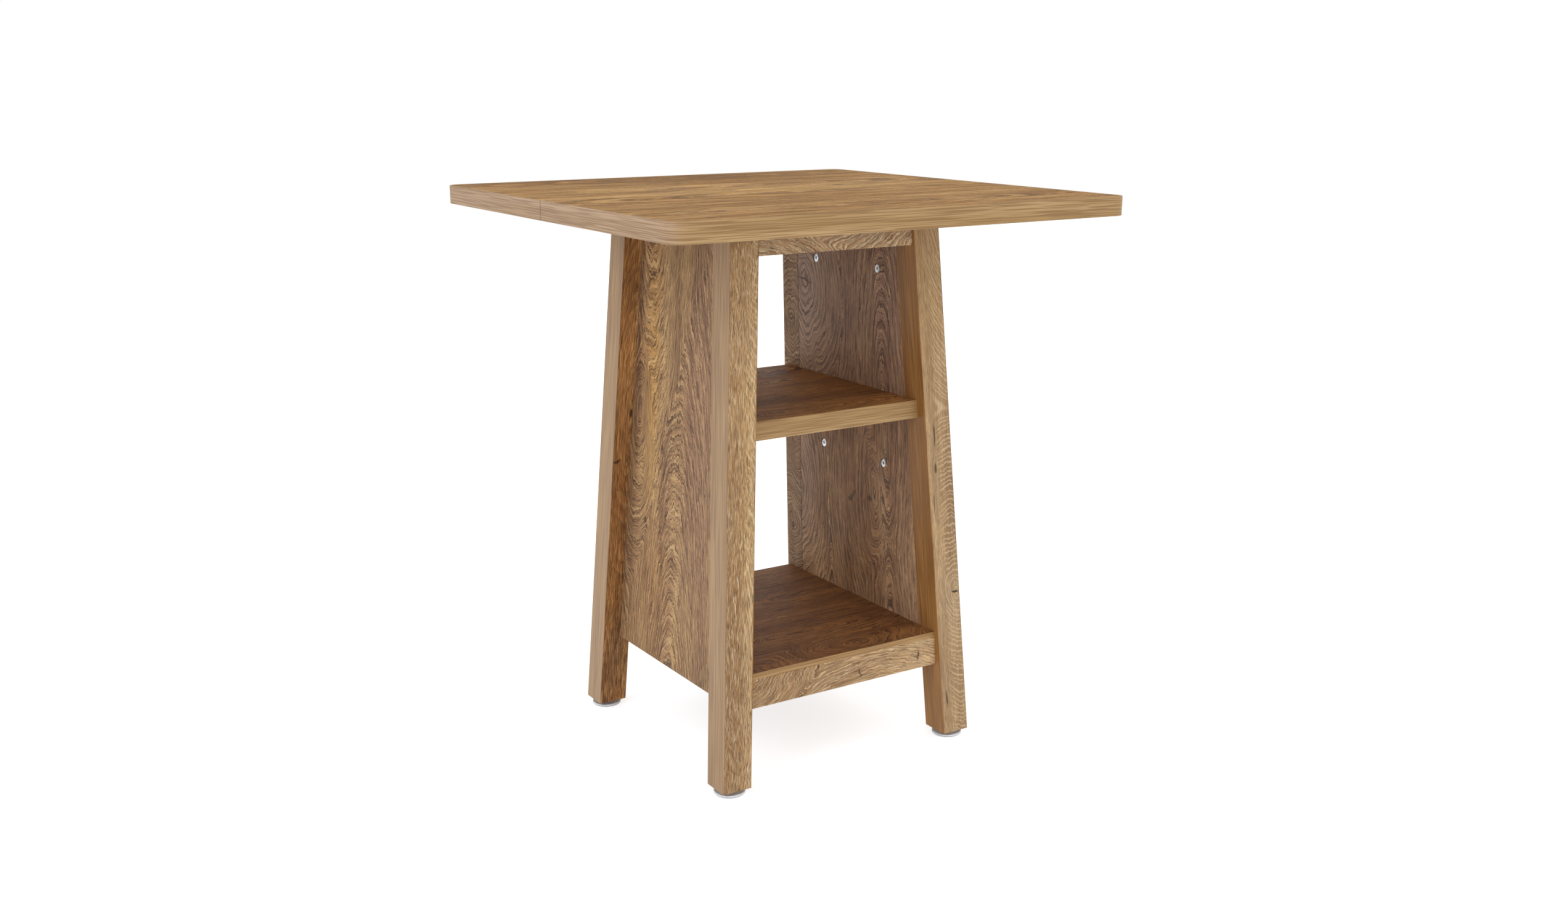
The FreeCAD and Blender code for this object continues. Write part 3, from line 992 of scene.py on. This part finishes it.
@dataclass
class Leg(Assembly):
    """Square leg that leans outwards both ways, with a band on each face that looks sideways."""

    corner: Corner
    side: float = 0.050
    shortest: float = 0.03

    def build_strip(self, start: float) -> BMesh:
        """Makes a band's leaning strip.

        Args:
            start: Its near face's distance from the leg's inner face.

        Returns:
            The new shape.
        """
        near, inner = SPLAY.inner_at_top + start, SPLAY.inner_at_top
        shape = start_block(
            (near, inner, SPLAY.foot_level),
            (near + BAND_THICKNESS, inner + self.side, SPLAY.underside),
        )
        lean = Matrix.Identity(4)
        for axis in (0, 1):
            lean[axis][2] = -SPLAY.share
            lean[axis][3] = SPLAY.share * SPLAY.underside
        mirror = Matrix.Diagonal((*self.corner.value, 1, 1))
        bmesh.ops.transform(shape, matrix=mirror @ lean, verts=shape.verts)
        bmesh.ops.recalc_face_normals(shape, faces=shape.faces)
        ease(shape, BAND_EASE)
        return shape

    def build(self) -> None:
        """Makes and dresses the leg's core and its two bands."""
        node = f"leg_{self.corner.label}"
        core = self.eased_copy(node, self.shortest)
        name = f"leg_core_{self.corner.label}"
        self.add_piece(name, core, DECORS[node].build(), Slot.BOARD, node)
        side_x, side_y = self.corner.value
        grain = Grain((0, 0, 1), (0, side_y, SPLAY.share), (1, 0, 0))
        seed = float(side_x + 3 * side_y + 7)
        last = self.side - BAND_THICKNESS
        # Painted light: the outer palette is greyer and pinker than the inner, for the cool light from the
        # left.
        for place, start, name, tints in (
            ("inner", 0.0, f"abs_band_{node}_inner", ("#bb894f", "#a6753f", "#81552a")),
            ("outer", last, f"abs_band_{node}", ("#b5946c", "#a78762", "#8b6b4d")),
        ):
            # One face shows the boards' print and not the band's straight lines.
            printed = DECORS.get(f"{node}_{place}")
            finish = printed or EdgeBand(name, grain, Palette(*tints), seed=seed)
            self.add_piece(
                f"leg_band_{self.corner.label}_{place}",
                self.build_strip(start),
                finish.build(),
                Slot.BOARD if printed else Slot.BAND,
                f"{node}_{place}_band",
            )


@dataclass
class SidePanel(Assembly):
    """Tapered panel between two legs, with its cam pockets."""

    label: str
    shortest: float = 0.01

    def build(self) -> None:
        """Makes and dresses the panel."""
        name, node = f"panel_{self.label}", f"side_panel_{self.label}"
        shape = self.eased_copy(node, self.shortest)
        self.add_piece(name, shape, DECORS[name].build(), Slot.BOARD, node)


@dataclass
class Plate(Assembly):
    """Board or band between the side panels, whose ends follow the panels' lean."""

    name: str
    node: str
    material: Material
    slot: Slot
    levels: Pair
    depths: Pair
    ease_width: float = EDGE_EASE

    def build(self) -> None:
        """Makes and dresses the board."""
        (low, high), (front, rear) = self.levels, self.depths
        reach = SPLAY.inner(high)
        shape = start_block((-reach, front, low), (reach, rear, high))
        for vert in shape.verts:
            vert.co.x = math.copysign(SPLAY.inner(vert.co.z), vert.co.x)
        ease(shape, self.ease_width)
        self.add_piece(self.name, shape, self.material, self.slot, self.node)


@dataclass
class CamSet(Assembly):
    """Cam discs in the side panels' inner faces, each with a cross recess.

    Each disc was left at its own angle by whoever turned it tight: the turn fields are radians.
    """

    radius: float = 0.0075
    thickness: float = 0.012
    recess: float = 0.001
    rim_ease: float = 0.0006
    rim_share: float = 0.3
    cross_length: float = 0.007
    cross_width: float = 0.0016
    cross_depth: float = 0.0024
    spacing: float = 0.180
    levels: Pair = (0.785, 0.454)
    turn_start: float = 0.35
    turn_by_row: float = 0.9
    turn_by_level: float = 7.0

    def add_disc(self, shape: BMesh, place: Matrix) -> None:
        """Adds one disc, with its face up along its own Z.

        Args:
            shape: The shape that it is added to.
            place: Where the middle of the disc's face goes.
        """
        disc = bmesh.new()
        grid = bmesh.ops.create_grid(disc, x_segments=3, y_segments=3, size=0.5)
        # The grid's outer points become the ends of the cross and its inner points the corners.
        arm, half = self.cross_length / 2, self.cross_width / 2
        for vert in grid["verts"]:
            for axis in (0, 1):
                reach = arm if abs(vert.co[axis]) > 0.4 else half
                vert.co[axis] = math.copysign(reach, vert.co[axis])
        middles = {face: face.calc_center_median() for face in disc.faces}
        corners = [face for face, at in middles.items() if min(abs(at.x), abs(at.y)) > half]
        bmesh.ops.delete(disc, geom=corners, context="FACES")
        rim = bmesh.ops.create_circle(
            disc, cap_ends=False, segments=48, radius=self.radius - self.rim_ease
        )
        rim_edges = [edge for edge in disc.edges if set(edge.verts) <= set(rim["verts"])]
        cross_edges = [edge for edge in disc.edges if edge.is_boundary]
        cross_faces = disc.faces[:]
        bmesh.ops.triangle_fill(disc, edges=rim_edges + cross_edges, use_beauty=True)
        sunk = bmesh.ops.extrude_face_region(disc, geom=cross_faces)["geom"]
        bmesh.ops.delete(disc, geom=cross_faces, context="FACES_ONLY")
        floor = [item for item in sunk if isinstance(item, BMVert)]
        bmesh.ops.translate(disc, vec=(0, 0, -self.cross_depth), verts=floor)
        last, step = rim_edges, self.rim_share * self.rim_ease
        for reach, drop in (
            (self.radius - step, step),
            (self.radius, self.rim_ease),
            (self.radius, self.thickness),
        ):
            wall = bmesh.ops.extrude_edge_only(disc, edges=last)["geom"]
            ring = {item for item in wall if isinstance(item, BMVert)}
            last = [item for item in wall if isinstance(item, BMEdge) and set(item.verts) <= ring]
            for vert in ring:
                flat = vert.co.xy.normalized() * reach
                vert.co = Vector((flat.x, flat.y, -drop))
        bmesh.ops.edgeloop_fill(disc, edges=last)
        bmesh.ops.recalc_face_normals(disc, faces=disc.faces)
        bmesh.ops.transform(disc, matrix=place, verts=disc.verts)
        join(shape, disc)

    def build(self) -> None:
        """Makes and dresses all eight discs as one piece."""
        material = Metal("zinc_die_cast", "#d5d6d9", "#b4b6ba", 0.34).build()
        lean = math.atan(SPLAY.share)
        shape = bmesh.new()
        for side in (-1, 1):
            for level in self.levels:
                for row in (-1, 1):
                    angle = self.turn_start + self.turn_by_row * row + self.turn_by_level * level
                    middle = (side * SPLAY.inner(level), row * self.spacing / 2, level)
                    place = (
                        Matrix.Translation(middle)
                        @ Matrix.Rotation(-side * (math.pi / 2 - lean), 4, "Y")
                        @ Matrix.Translation((0, 0, -self.recess))
                        @ Matrix.Rotation(angle, 4, "Z")
                    )
                    self.add_disc(shape, place)
        self.add_piece("cam_discs", shape, material, Slot.ZINC, "panel_cams")


@dataclass
class LevellingFoot(Assembly):
    """Levelling foot under a leg: rubber sole, white plastic pad and threaded steel stud."""

    corner: Corner
    materials: dict[Slot, Material]
    leg_half: float = 0.025
    sole_radius: float = 0.024
    sole_height: float = 0.0012
    sole_middle: float = 0.004
    ribs: Triple = (0.006, 0.0125, 0.019)
    rib_height: float = 0.00025
    rib_width: float = 0.0036
    rib_slope: float = 0.0004
    sole_bevel: Pair = (0.0003, 0.0005)
    pad_radius: float = 0.025
    pad_top: float = 0.0042
    pad_bevel: float = 0.0004
    rim_radius: float = 0.0013
    boss_radius: float = 0.0095
    boss_bevel: Pair = (0.0007, 0.0005)
    dish_edge: Pair = (0.0042, 0.0009)
    dish_lip: Pair = (0.0030, 0.00015)
    collar_width: float = 0.013
    collar_top: float = 0.010
    collar_ease: float = 0.00035
    stud_radius: float = 0.004
    stud_top: float = 0.035
    pivot_radius: float = 0.003
    pivot_low: float = 0.0022
    pivot_play: float = 0.0003
    pivot_overlap: float = 0.0005
    pitch: float = 0.00125
    thread_depth: float = 0.00055
    thread_crest: Pair = (0.44, 0.56)
    thread_overlap: float = 0.00002
    thread_steps: int = 24

    def build_sole(self) -> BMesh:
        """Makes the rubber sole, with three ribs under it.

        Returns:
            The new shape.
        """
        radius, top, hollow = self.sole_radius, self.sole_height, self.rib_height
        profile = [(0.0, hollow), (self.sole_middle, hollow)]
        for start in self.ribs:
            end = start + self.rib_width
            profile += [
                (start, hollow),
                (start + self.rib_slope, 0.0),
                (end - self.rib_slope, 0.0),
                (end, hollow),
            ]
        inward, up = self.sole_bevel
        profile += [(radius - inward, hollow), (radius, up), (radius, top), (0.0, top)]
        return turn(profile)

    def build_pad(self) -> BMesh:
        """Makes the pad: a rounded rim, a shallow dish and a socket for the stud's pivot.

        Returns:
            The new shape.
        """
        radius, low, top, rim = self.pad_radius, self.sole_height, self.pad_top, self.rim_radius
        socket_radius = self.pivot_radius + self.pivot_play
        socket_floor = self.pivot_low - self.pivot_play
        profile = [
            (0.0, socket_floor),
            (socket_radius, socket_floor),
            (socket_radius, top),
            (self.boss_radius, top),
            (self.boss_radius + self.boss_bevel[0], top - self.boss_bevel[1]),
            (radius - self.dish_edge[0], top - self.dish_edge[1]),
            (radius - self.dish_lip[0], top - self.dish_lip[1]),
        ]
        for angle in (math.radians(degrees) for degrees in range(90, -1, -15)):
            across, up = rim * math.cos(angle), rim * math.sin(angle)
            profile.append((radius - rim + across, top - rim + up))
        profile += [(radius, low + self.pad_bevel), (radius - self.pad_bevel, low), (0.0, low)]
        return turn(profile)

    def build_stud(self) -> BMesh:
        """Makes the stud: a ridge wound up round a core, a pivot and a hexagon collar.

        Returns:
            The new shape.
        """
        outer, root = self.stud_radius, self.stud_radius - self.thread_depth
        low = self.collar_top - MM
        turns = int((self.stud_top - low) / self.pitch) - 1
        start, end = (low + share * self.pitch for share in self.thread_crest)
        profile = [(root, low), (outer, start), (outer, end), (root, low + self.pitch)]
        stud = turn(profile, self.thread_steps, turns, self.pitch)
        core = root + self.thread_overlap
        add_rod(stud, low, self.stud_top, (core, core))
        pivot = (self.pivot_radius - self.pivot_play, self.pivot_radius)
        add_rod(stud, self.pivot_low, self.pad_top + self.pivot_overlap, pivot)
        collar = bmesh.new()
        corner = self.collar_width / math.sqrt(3)
        add_rod(collar, self.pad_top, self.collar_top, (corner, corner), sides=6)
        ease(collar, self.collar_ease)
        join(stud, collar)
        return stud

    def build(self) -> None:
        """Makes and dresses the sole, the pad and the stud."""
        label = self.corner.label
        reach = SPLAY.inner(SPLAY.foot_level) + self.leg_half
        side_x, side_y = self.corner.value
        shift = Matrix.Translation((side_x * reach, side_y * reach, 0.0))
        for name, shape, slot, body in (
            ("sole", self.build_sole(), Slot.RUBBER, "pad"),
            ("pad", self.build_pad(), Slot.PLASTIC, "pad"),
            ("stud", self.build_stud(), Slot.STEEL, "stud"),
        ):
            bmesh.ops.transform(shape, matrix=shift, verts=shape.verts)
            self.add_piece(
                f"levelling_{name}_{label}",
                shape,
                self.materials[slot],
                slot,
                f"foot_{name}_{label}",
                f"{body}_{label}",
            )


@dataclass
class Studio:
    """Pale floor, even white surroundings and the camera at the photographed angle."""

    level: float = 0.95
    floor_side: float = 8.0
    floor_drop: float = 0.0002
    floor_glow: float = 0.62
    place: Triple = (-1.373211, -2.189940, 1.104409)
    azimuth: float = -0.5678602769
    elevation: float = 0.2362368
    roll: float = -0.00048055
    lens: float = 36.343
    sensor_width: float = 36.0
    lamp_side: float = 2.2
    lamp_aim: Triple = (0.0, 0.0, 0.5)

    def see(self, mix: Recipe) -> Socket:
        """Tells where the camera looks, straight or by way of gloss or glass.

        Args:
            mix: The recipe of the floor or the world.

        Returns:
            One for such rays and nought for those that light the object.
        """
        ways = ("Is Camera Ray", "Is Glossy Ray", "Is Transmission Ray")
        seen, *others = (mix.add("LightPath", output=way) for way in ways)
        for other in others:
            seen = mix.add("Math", (seen, other), operation="MAXIMUM")
        return seen

    def build_floor(self) -> None:
        """Makes the floor, white to the camera but for the table's soft shadow."""
        mix = Recipe(bpy.data.materials.new("studio_floor"))
        place = mix.add("TexCoord", output="Object")
        cloud = mix.add("TexNoise", {"Vector": place, "Scale": 3.0, "Detail": 3.0})
        stops = ((0.3, linear("#e4e4e4")), (0.7, linear("#e8e8e8")))
        colour = mix.add("ValToRGB", (cloud,), stops=stops)
        surface = mix.add("BsdfDiffuse", {"Color": colour})
        glow = mix.add("Math", (self.see(mix), self.floor_glow), operation="MULTIPLY")
        white = mix.add("Emission", {"Color": (1, 1, 1, 1), "Strength": glow})
        material = mix.finish("AddShader", (surface, white))
        # A foot is wound down where the floor dips, so each quarter of the floor follows its foot.
        half = self.floor_side / 2
        for corner in Corner:
            side_x, side_y = corner.value
            shape = bmesh.new()
            bmesh.ops.create_grid(shape, x_segments=8, y_segments=8, size=half)
            middle = (side_x * half, side_y * half, -self.floor_drop)
            bmesh.ops.translate(shape, vec=middle, verts=shape.verts)
            floor = make_object(f"studio_floor_{corner.label}", shape, material)
            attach(floor, f"pad_{corner.label}")

    def build_world(self) -> None:
        """Makes the surroundings: white where they are seen, the light's level elsewhere."""
        mix = Recipe(bpy.data.worlds.new("studio_white"))
        strength = mix.add("MapRange", {0: self.see(mix), 3: self.level, 4: 1.0})
        background = {"Color": (1, 1, 1, 1), "Strength": strength}
        bpy.context.scene.world = mix.finish("Background", background)

    def build_camera(self) -> None:
        """Makes the camera at the photographed angle and distance."""
        data = bpy.data.cameras.new("camera")
        data.lens = self.lens
        data.sensor_width = self.sensor_width
        camera = bpy.data.objects.new("camera", data)
        camera.matrix_world = (
            Matrix.Translation(self.place)
            @ Matrix.Rotation(self.azimuth, 4, "Z")
            @ Matrix.Rotation(math.pi / 2 - self.elevation, 4, "X")
            @ Matrix.Rotation(self.roll, 4, "Z")
        )
        bpy.context.scene.collection.objects.link(camera)
        bpy.context.scene.camera = camera

    def build_lamps(self) -> None:
        """Makes two large soft lamps: a cool one at the left and a warm one in front."""
        for name, place, tint, power in (
            ("lamp_left", (-3.3, -0.9, 1.9), "#dce6ff", 32.0),
            ("lamp_front", (0.9, -3.5, 1.7), "#fff3e2", 12.0),
        ):
            data = bpy.data.lights.new(name, "AREA")
            data.shape = "SQUARE"
            data.size = self.lamp_side
            data.color = linear(tint)[:3]
            data.energy = power
            lamp = bpy.data.objects.new(name, data)
            lamp.location = place
            lamp.rotation_mode = "QUATERNION"
            way = Vector(self.lamp_aim) - Vector(place)
            lamp.rotation_quaternion = way.to_track_quat("-Z", "Y")
            bpy.context.scene.collection.objects.link(lamp)

    def build(self) -> None:
        """Makes the floor, the surroundings, the lamps and the camera."""
        self.build_floor()
        self.build_world()
        self.build_lamps()
        self.build_camera()
        bpy.context.scene.view_settings.view_transform = "Standard"


# The table


LEG_TOP = -SPLAY.underside / MM
LEG_REACH = SPLAY.inner(0.0) / MM


def leg_grain(corner: Corner) -> Grain:
    """Grain down a leg: along it from the top, across it from its inner face outwards."""
    (side_x, side_y), start = corner.value, (LEG_TOP, LEG_REACH, LEG_REACH)
    return Grain((0, 0, -1), (side_x, 0, SPLAY.share), (0, side_y, SPLAY.share), start)


def panel_grain(side: int) -> Grain:
    """Grain down a side panel: along it from the top, across it from its middle."""
    return Grain((0, 0, -1), (0, 1, 0), (side, 0, 0), (LEG_TOP, 0, 0))


def rail_grain(level: float) -> Grain:
    """Grain from left to right on an upright face, with its middle at a level in millimetres."""
    return Grain((1, 0, 0), (0, 0, 1), (0, 1, 0), (0, level, 0))


FLAT_GRAIN = Grain((1, 0, 0), (0, 1, 0), (0, 0, 1))

OAK_DECORS = (
    OakDecor(
        "top", FLAT_GRAIN,
        (Figure(-160, -290, 8), Figure(260, -60, 9), Figure(-330, 120, 7), Figure(120, 330, 8)),
        (Mark(-250, -250, 12, 4), Mark(160, 40, 16, 4), Mark(-60, 210, 9, 4)),
        (
            Mark(0, 340, 460, 170, 0.75, "#744a14"), Mark(-60, -340, 460, 150, 0.35, "#8a6130"),
            Mark(60, 20, 420, 130, 0.5, "#c29a60"), Mark(-180, -150, 260, 14, 0.5, "#7a5630"),
            Mark(150, -240, 220, 12, 0.45, "#7d5a33"), Mark(-240, 90, 160, 10, 0.5, "#7d5833"),
            Mark(210, 130, 190, 13, 0.5, "#7a5431"), Mark(40, -70, 150, 8, 0.5, "#815d38"),
        ),
        Palette("#bf945a", "#a87b42", "#8e6536", "#513216", "#d4a969"), ring_spacing=14.0, ring_gain=0.16,
        ring_shade=0.2, fibre_width=2.0, fibre_length=90.0, line_share=0.45, fleck_share=0.35, contrast=0.4,
        streak_width=10.0, jag=1.6, gloss=0.05, seed=3.0,
    ),
    OakDecor(
        "leg_front_left", leg_grain(Corner.FRONT_LEFT),
        (Figure(720, 105, 2.5),),
        stains=(
            Mark(130, 30, 160, 22, 0.4, "#a5835f"), Mark(420, 12, 240, 14, 0.4, "#d3ab70"),
            Mark(740, 34, 90, 12, 0.35, "#8b6c56"),
        ),
        palette=Palette("#cfa978", "#bb9364", "#a27c54", "#5c3f29", "#ecd3a8"), ring_spacing=4.0,
        ring_gain=0.0, ring_shade=0.0, follow=0.0, fibre_width=0.75, fibre_length=20.0, line_share=0.78,
        fleck_share=0.80, ridge_gain=0.12, ridge_share=0.8, ridge_from=-30, ridge_to=15, jag=0.7, grit=0.22,
        seed=11.0,
    ),
    OakDecor(
        "leg_front_right", leg_grain(Corner.FRONT_RIGHT),
        (Figure(620, 40, 2.0), Figure(-10, 85, 2.2)),
        (
            Mark(622, 37, 2.2, 9, 0.9), Mark(350, 16, 22, 2.2, 0.75), Mark(408, 17, 10, 3.0, 0.75),
            Mark(470, 10, 16, 1.8, 0.6), Mark(812, 12, 14, 2.0, 0.7),
        ),
        (
            Mark(110, 26, 150, 40, 0.35, "#c8a572"), Mark(420, 14, 130, 8, 0.4, "#8e765f"),
            Mark(640, 30, 90, 30, 0.35, "#a48d74"), Mark(770, 12, 110, 14, 0.35, "#8f765d"),
        ),
        Palette("#c8a87e", "#b5946c", "#9b7b58", "#6a4e36", "#e8cfa6"), ring_spacing=4.0, ring_gain=0.0,
        ring_shade=0.0, follow=0.0, pore_from=0.53, line_share=0.55, fleck_share=0.7, fleck_from=0.60,
        ridge_gain=0.05, ridge_share=0.75, ridge_from=22, ridge_to=80, jag=0.5, wander=0.7, seed=27.0,
    ),
    OakDecor(
        "leg_rear_left", leg_grain(Corner.REAR_LEFT),
        (Figure(357, 22, 6), Figure(980, 60, 9, 5)),
        (Mark(357, 20, 9, 4), Mark(427, 42, 3, 8, 0.8), Mark(640, 20, 12, 2, 0.6)),
        (
            Mark(100, 34, 140, 16, 0.5, "#7a431c"), Mark(560, 30, 160, 26, 0.5, "#8d4f22"),
            Mark(760, 20, 90, 30, 0.35, "#86684c"),
        ),
        Palette("#dca061", "#b9814a", "#94613b", "#4a2b18", "#f6c77d"), ring_spacing=4.5, ring_gain=0.05,
        ring_shade=0.05, follow=0.3, fibre_width=0.65, fibre_length=34.0, pore_from=0.47, fleck_share=0.35,
        contrast=0.2, jag=0.6, wander=0.6, seed=42.0,
    ),
    OakDecor(
        "leg_rear_right", leg_grain(Corner.REAR_RIGHT),
        (Figure(120, 20, 3.0), Figure(560, 40, 4.0)),
        (Mark(470, 30, 12, 3), Mark(130, 24, 3, 9)),
        ring_spacing=5.0, seed=57.0,
    ),
    OakDecor(
        "leg_rear_right_inner", Grain((0, 0, -1), (0, 1, SPLAY.share), (1, 0, 0), (LEG_TOP, LEG_REACH, 0)),
        (Figure(205, 24, 1.5), Figure(420, 10, 1.2), Figure(600, 36, 1.1, 5)),
        (Mark(205, 22, 3, 12, 0.7), Mark(405, 20, 4, 18, 0.8), Mark(610, 30, 9, 3, 0.7)),
        palette=Palette("#c09a7c", "#a67f62", "#83624c"), ring_spacing=5.5, ring_gain=0.14, ridge_gain=0.18,
        joint_shade=0.75, seed=63.0,
    ),
    OakDecor(
        "panel_left", panel_grain(-1),
        (Figure(345, 135, 3.0, 60), Figure(1200, 5, 7.0), Figure(-400, 105, 7.0)),
        (
            Mark(130, 112, 9, 5, 0.6), Mark(88, 80, 4, 3, 0.7), Mark(270, 2, 12, 5, 0.45),
            Mark(525, 104, 8, 5, 0.7),
        ),
        (
            Mark(330, 176, 480, 46, 0.8, "#6a4628"), Mark(260, 90, 300, 32, 0.6, "#d9a65e"),
            Mark(360, -90, 430, 85, 0.6, "#9c7460"), Mark(640, 60, 150, 60, 0.4, "#b07c48"),
            Mark(250, 142, 280, 13, 0.6, "#6b452a"), Mark(190, 14, 230, 22, 0.5, "#7c5840"),
            Mark(520, 48, 220, 12, 0.5, "#80583a"), Mark(430, -30, 300, 14, 0.4, "#84604a"),
        ),
        Palette("#bb9566", "#a57d58", "#87644a", "#3c2922", "#dfba82"), ring_spacing=5.0, ring_gain=0.08,
        ring_shade=0.1, fibre_width=0.55, fibre_length=32.0, line_share=0.8, jag=0.65, seed=5.0,
    ),
    OakDecor(
        "panel_right", panel_grain(1),
        (
            Figure(145, 128, 1.6), Figure(345, -99, 6.0), Figure(480, -60, 3.2, 6), Figure(800, -95, 6.5),
            Figure(520, 215, 1.8, 4),
        ),
        (
            Mark(146, 127, 2.0, 22, 0.7), Mark(140, 124, 7, 5, 0.5), Mark(497, 4, 5, 14, 0.6),
            Mark(508, -44, 5, 8, 0.6), Mark(480, -88, 10, 4, 0.5),
        ),
        (
            Mark(150, 130, 190, 90, 0.7, "#dcc2b6"), Mark(480, 160, 170, 65, 0.6, "#bea196"),
            Mark(600, -20, 170, 110, 0.45, "#a07048"), Mark(170, 60, 190, 220, 0.5, "#e0c0b0"),
            Mark(200, -120, 190, 55, 0.5, "#b0897a"), Mark(440, 60, 120, 30, 0.35, "#7c5238"),
            Mark(560, 90, 60, 60, 0.3, "#8a5a38"),
        ),
        Palette("#e0b68b", "#c99c75", "#a87e5d", "#3e2b2d", "#f4ce98"), ring_spacing=8.0, fibre_width=0.6,
        fibre_length=42.0, pore_from=0.48, ridge_gain=0.20, ridge_from=60, ridge_to=300, jag=0.7, seed=19.0,
    ),
    OakDecor(
        "top_rail_front", rail_grain(857),
        (Figure(-150, -90, 1.4), Figure(-40, 120, 1.5)),
        (Mark(-108, -10, 4, 2, 0.5),),
        palette=Palette("#f6d2a1", "#dfb98a", "#b9946f", "#735037", "#fff5d0"), ring_spacing=5.2,
        ring_gain=0.08, fleck_share=0.55, jag=1.4, seed=8.0,
    ),
    OakDecor(
        "top_rail_rear", rail_grain(857),
        (Figure(60, 10, 1.4), Figure(-140, 20, 2.0)),
        ring_spacing=5.2, fleck_share=0.4, seed=14.0,
    ),
    OakDecor(
        "bottom_rail_front", rail_grain(155.5),
        (Figure(60, -110, 1.5), Figure(-190, 60, 1.1)),
        (Mark(20, -2, 2, 9, 0.7), Mark(142, 2, 2, 10, 0.7), Mark(-45, 20, 2, 5, 0.6)),
        palette=Palette("#dfbd8e", "#c9a478", "#a9845c", "#6a4a30", "#f6dcb2"), ring_spacing=5.0,
        ring_gain=0.08, fleck_share=0.55, jag=1.4, seed=31.0,
    ),
    OakDecor(
        "bottom_rail_rear", rail_grain(155.5),
        (Figure(-90, 10, 2.4), Figure(110, -30, 1.6, 4)),
        (Mark(-90, 8, 6, 4),),
        ring_spacing=5.2, fleck_share=0.4, seed=37.0,
    ),
    OakDecor(
        "middle_shelf", FLAT_GRAIN,
        (Figure(-40, -150, 6), Figure(120, 60, 8), Figure(-200, 150, 7)),
        palette=Palette("#bf8649", "#a8733d", "#87562c", "#3a2420", "#dba866"), ring_spacing=7.0,
        contrast=0.25, fibre_length=45.0, fleck_share=0.4, seed=23.0,
    ),
    OakDecor(
        "bottom_shelf", FLAT_GRAIN,
        (Figure(57, -190, 2.2), Figure(-26, -105, 6, 4), Figure(140, 60, 8)),
        (Mark(57, -189, 5, 3), Mark(-26, -104, 10, 3)),
        palette=Palette("#9d6a3a", "#87572e", "#6a4020", "#2e1b17", "#bd8a50"), ring_spacing=6.5,
        contrast=0.25, fibre_length=45.0, fleck_share=0.35, seed=29.0,
    ),
)

DECORS = {decor.name: decor for decor in OAK_DECORS}


def rails_and_shelves() -> list[Plate]:
    """Lists the boards between the side panels, and the shelves' bands.

    Returns:
        The boards first and then the bands.
    """
    top_rail, bottom_rail = (0.832, 0.882), (0.1315, 0.1795)
    middle_shelf, bottom_shelf = (0.551, 0.581), (0.1795, 0.1895)
    plates = []
    for node, levels, depths in (
        ("top_rail_front", top_rail, (-0.1885, -0.1705)),
        ("top_rail_rear", top_rail, (0.1705, 0.1885)),
        ("bottom_rail_front", bottom_rail, (-0.221, -0.203)),
        ("bottom_rail_rear", bottom_rail, (0.203, 0.221)),
        ("middle_shelf", middle_shelf, (-0.189, 0.189)),
        ("bottom_shelf", bottom_shelf, (-0.220, 0.220)),
    ):
        material = DECORS[node].build()
        plates.append(Plate(f"board_{node}", node, material, Slot.BOARD, levels, depths))
    for shelf, levels, reach, tints in (
        ("middle_shelf", middle_shelf, 0.190, Palette("#c1a072", "#b18f60", "#8c6a3f")),
        ("bottom_shelf", bottom_shelf, 0.221, Palette("#bb9767", "#ab8655", "#876136")),
    ):
        material = EdgeBand(f"abs_band_{shelf}", rail_grain(0), tints, seed=4.0).build()
        for place, front in (("front", -reach), ("rear", reach - BAND_THICKNESS)):
            name, node = f"band_{shelf}_{place}", f"{shelf}_{place}_band"
            depths = (front, front + BAND_THICKNESS)
            plates.append(Plate(name, node, material, Slot.BAND, levels, depths, BAND_EASE))
    return plates


def main() -> None:
    """Builds every sub-assembly in order and reports its pieces."""
    logging.basicConfig(level=logging.INFO, format="%(name)s: %(message)s")
    materials = {
        Slot.RUBBER: Moulding("rubber_sole_moulded", "#1d1d1e", "#2c2c2d", 0.7, 1.52).build(),
        Slot.PLASTIC: Moulding("polypropylene_white", "#e9eaec", "#dcdee2", 0.38, 1.49).build(),
        Slot.STEEL: Metal("steel_zinc_plated", "#c4c6c9", "#a2a5aa", 0.28).build(),
    }
    for assembly in (
        TableTop(),
        *(Leg(corner) for corner in Corner),
        *(SidePanel(label) for label in ("left", "right")),
        *rails_and_shelves(),
        CamSet(),
        *(LevellingFoot(corner, materials) for corner in Corner),
    ):
        assembly.build()
        assembly.report()
    hidden = Assembly()
    hidden.dress_node("panel_cam_bolts", materials[Slot.STEEL])
    hidden.dress_node("leg_inserts", Metal("zinc_insert", "#bfb9a6", "#9d9786", 0.36).build())
    hidden.report()
    Studio().build()


if __name__ == "__main__":
    main()
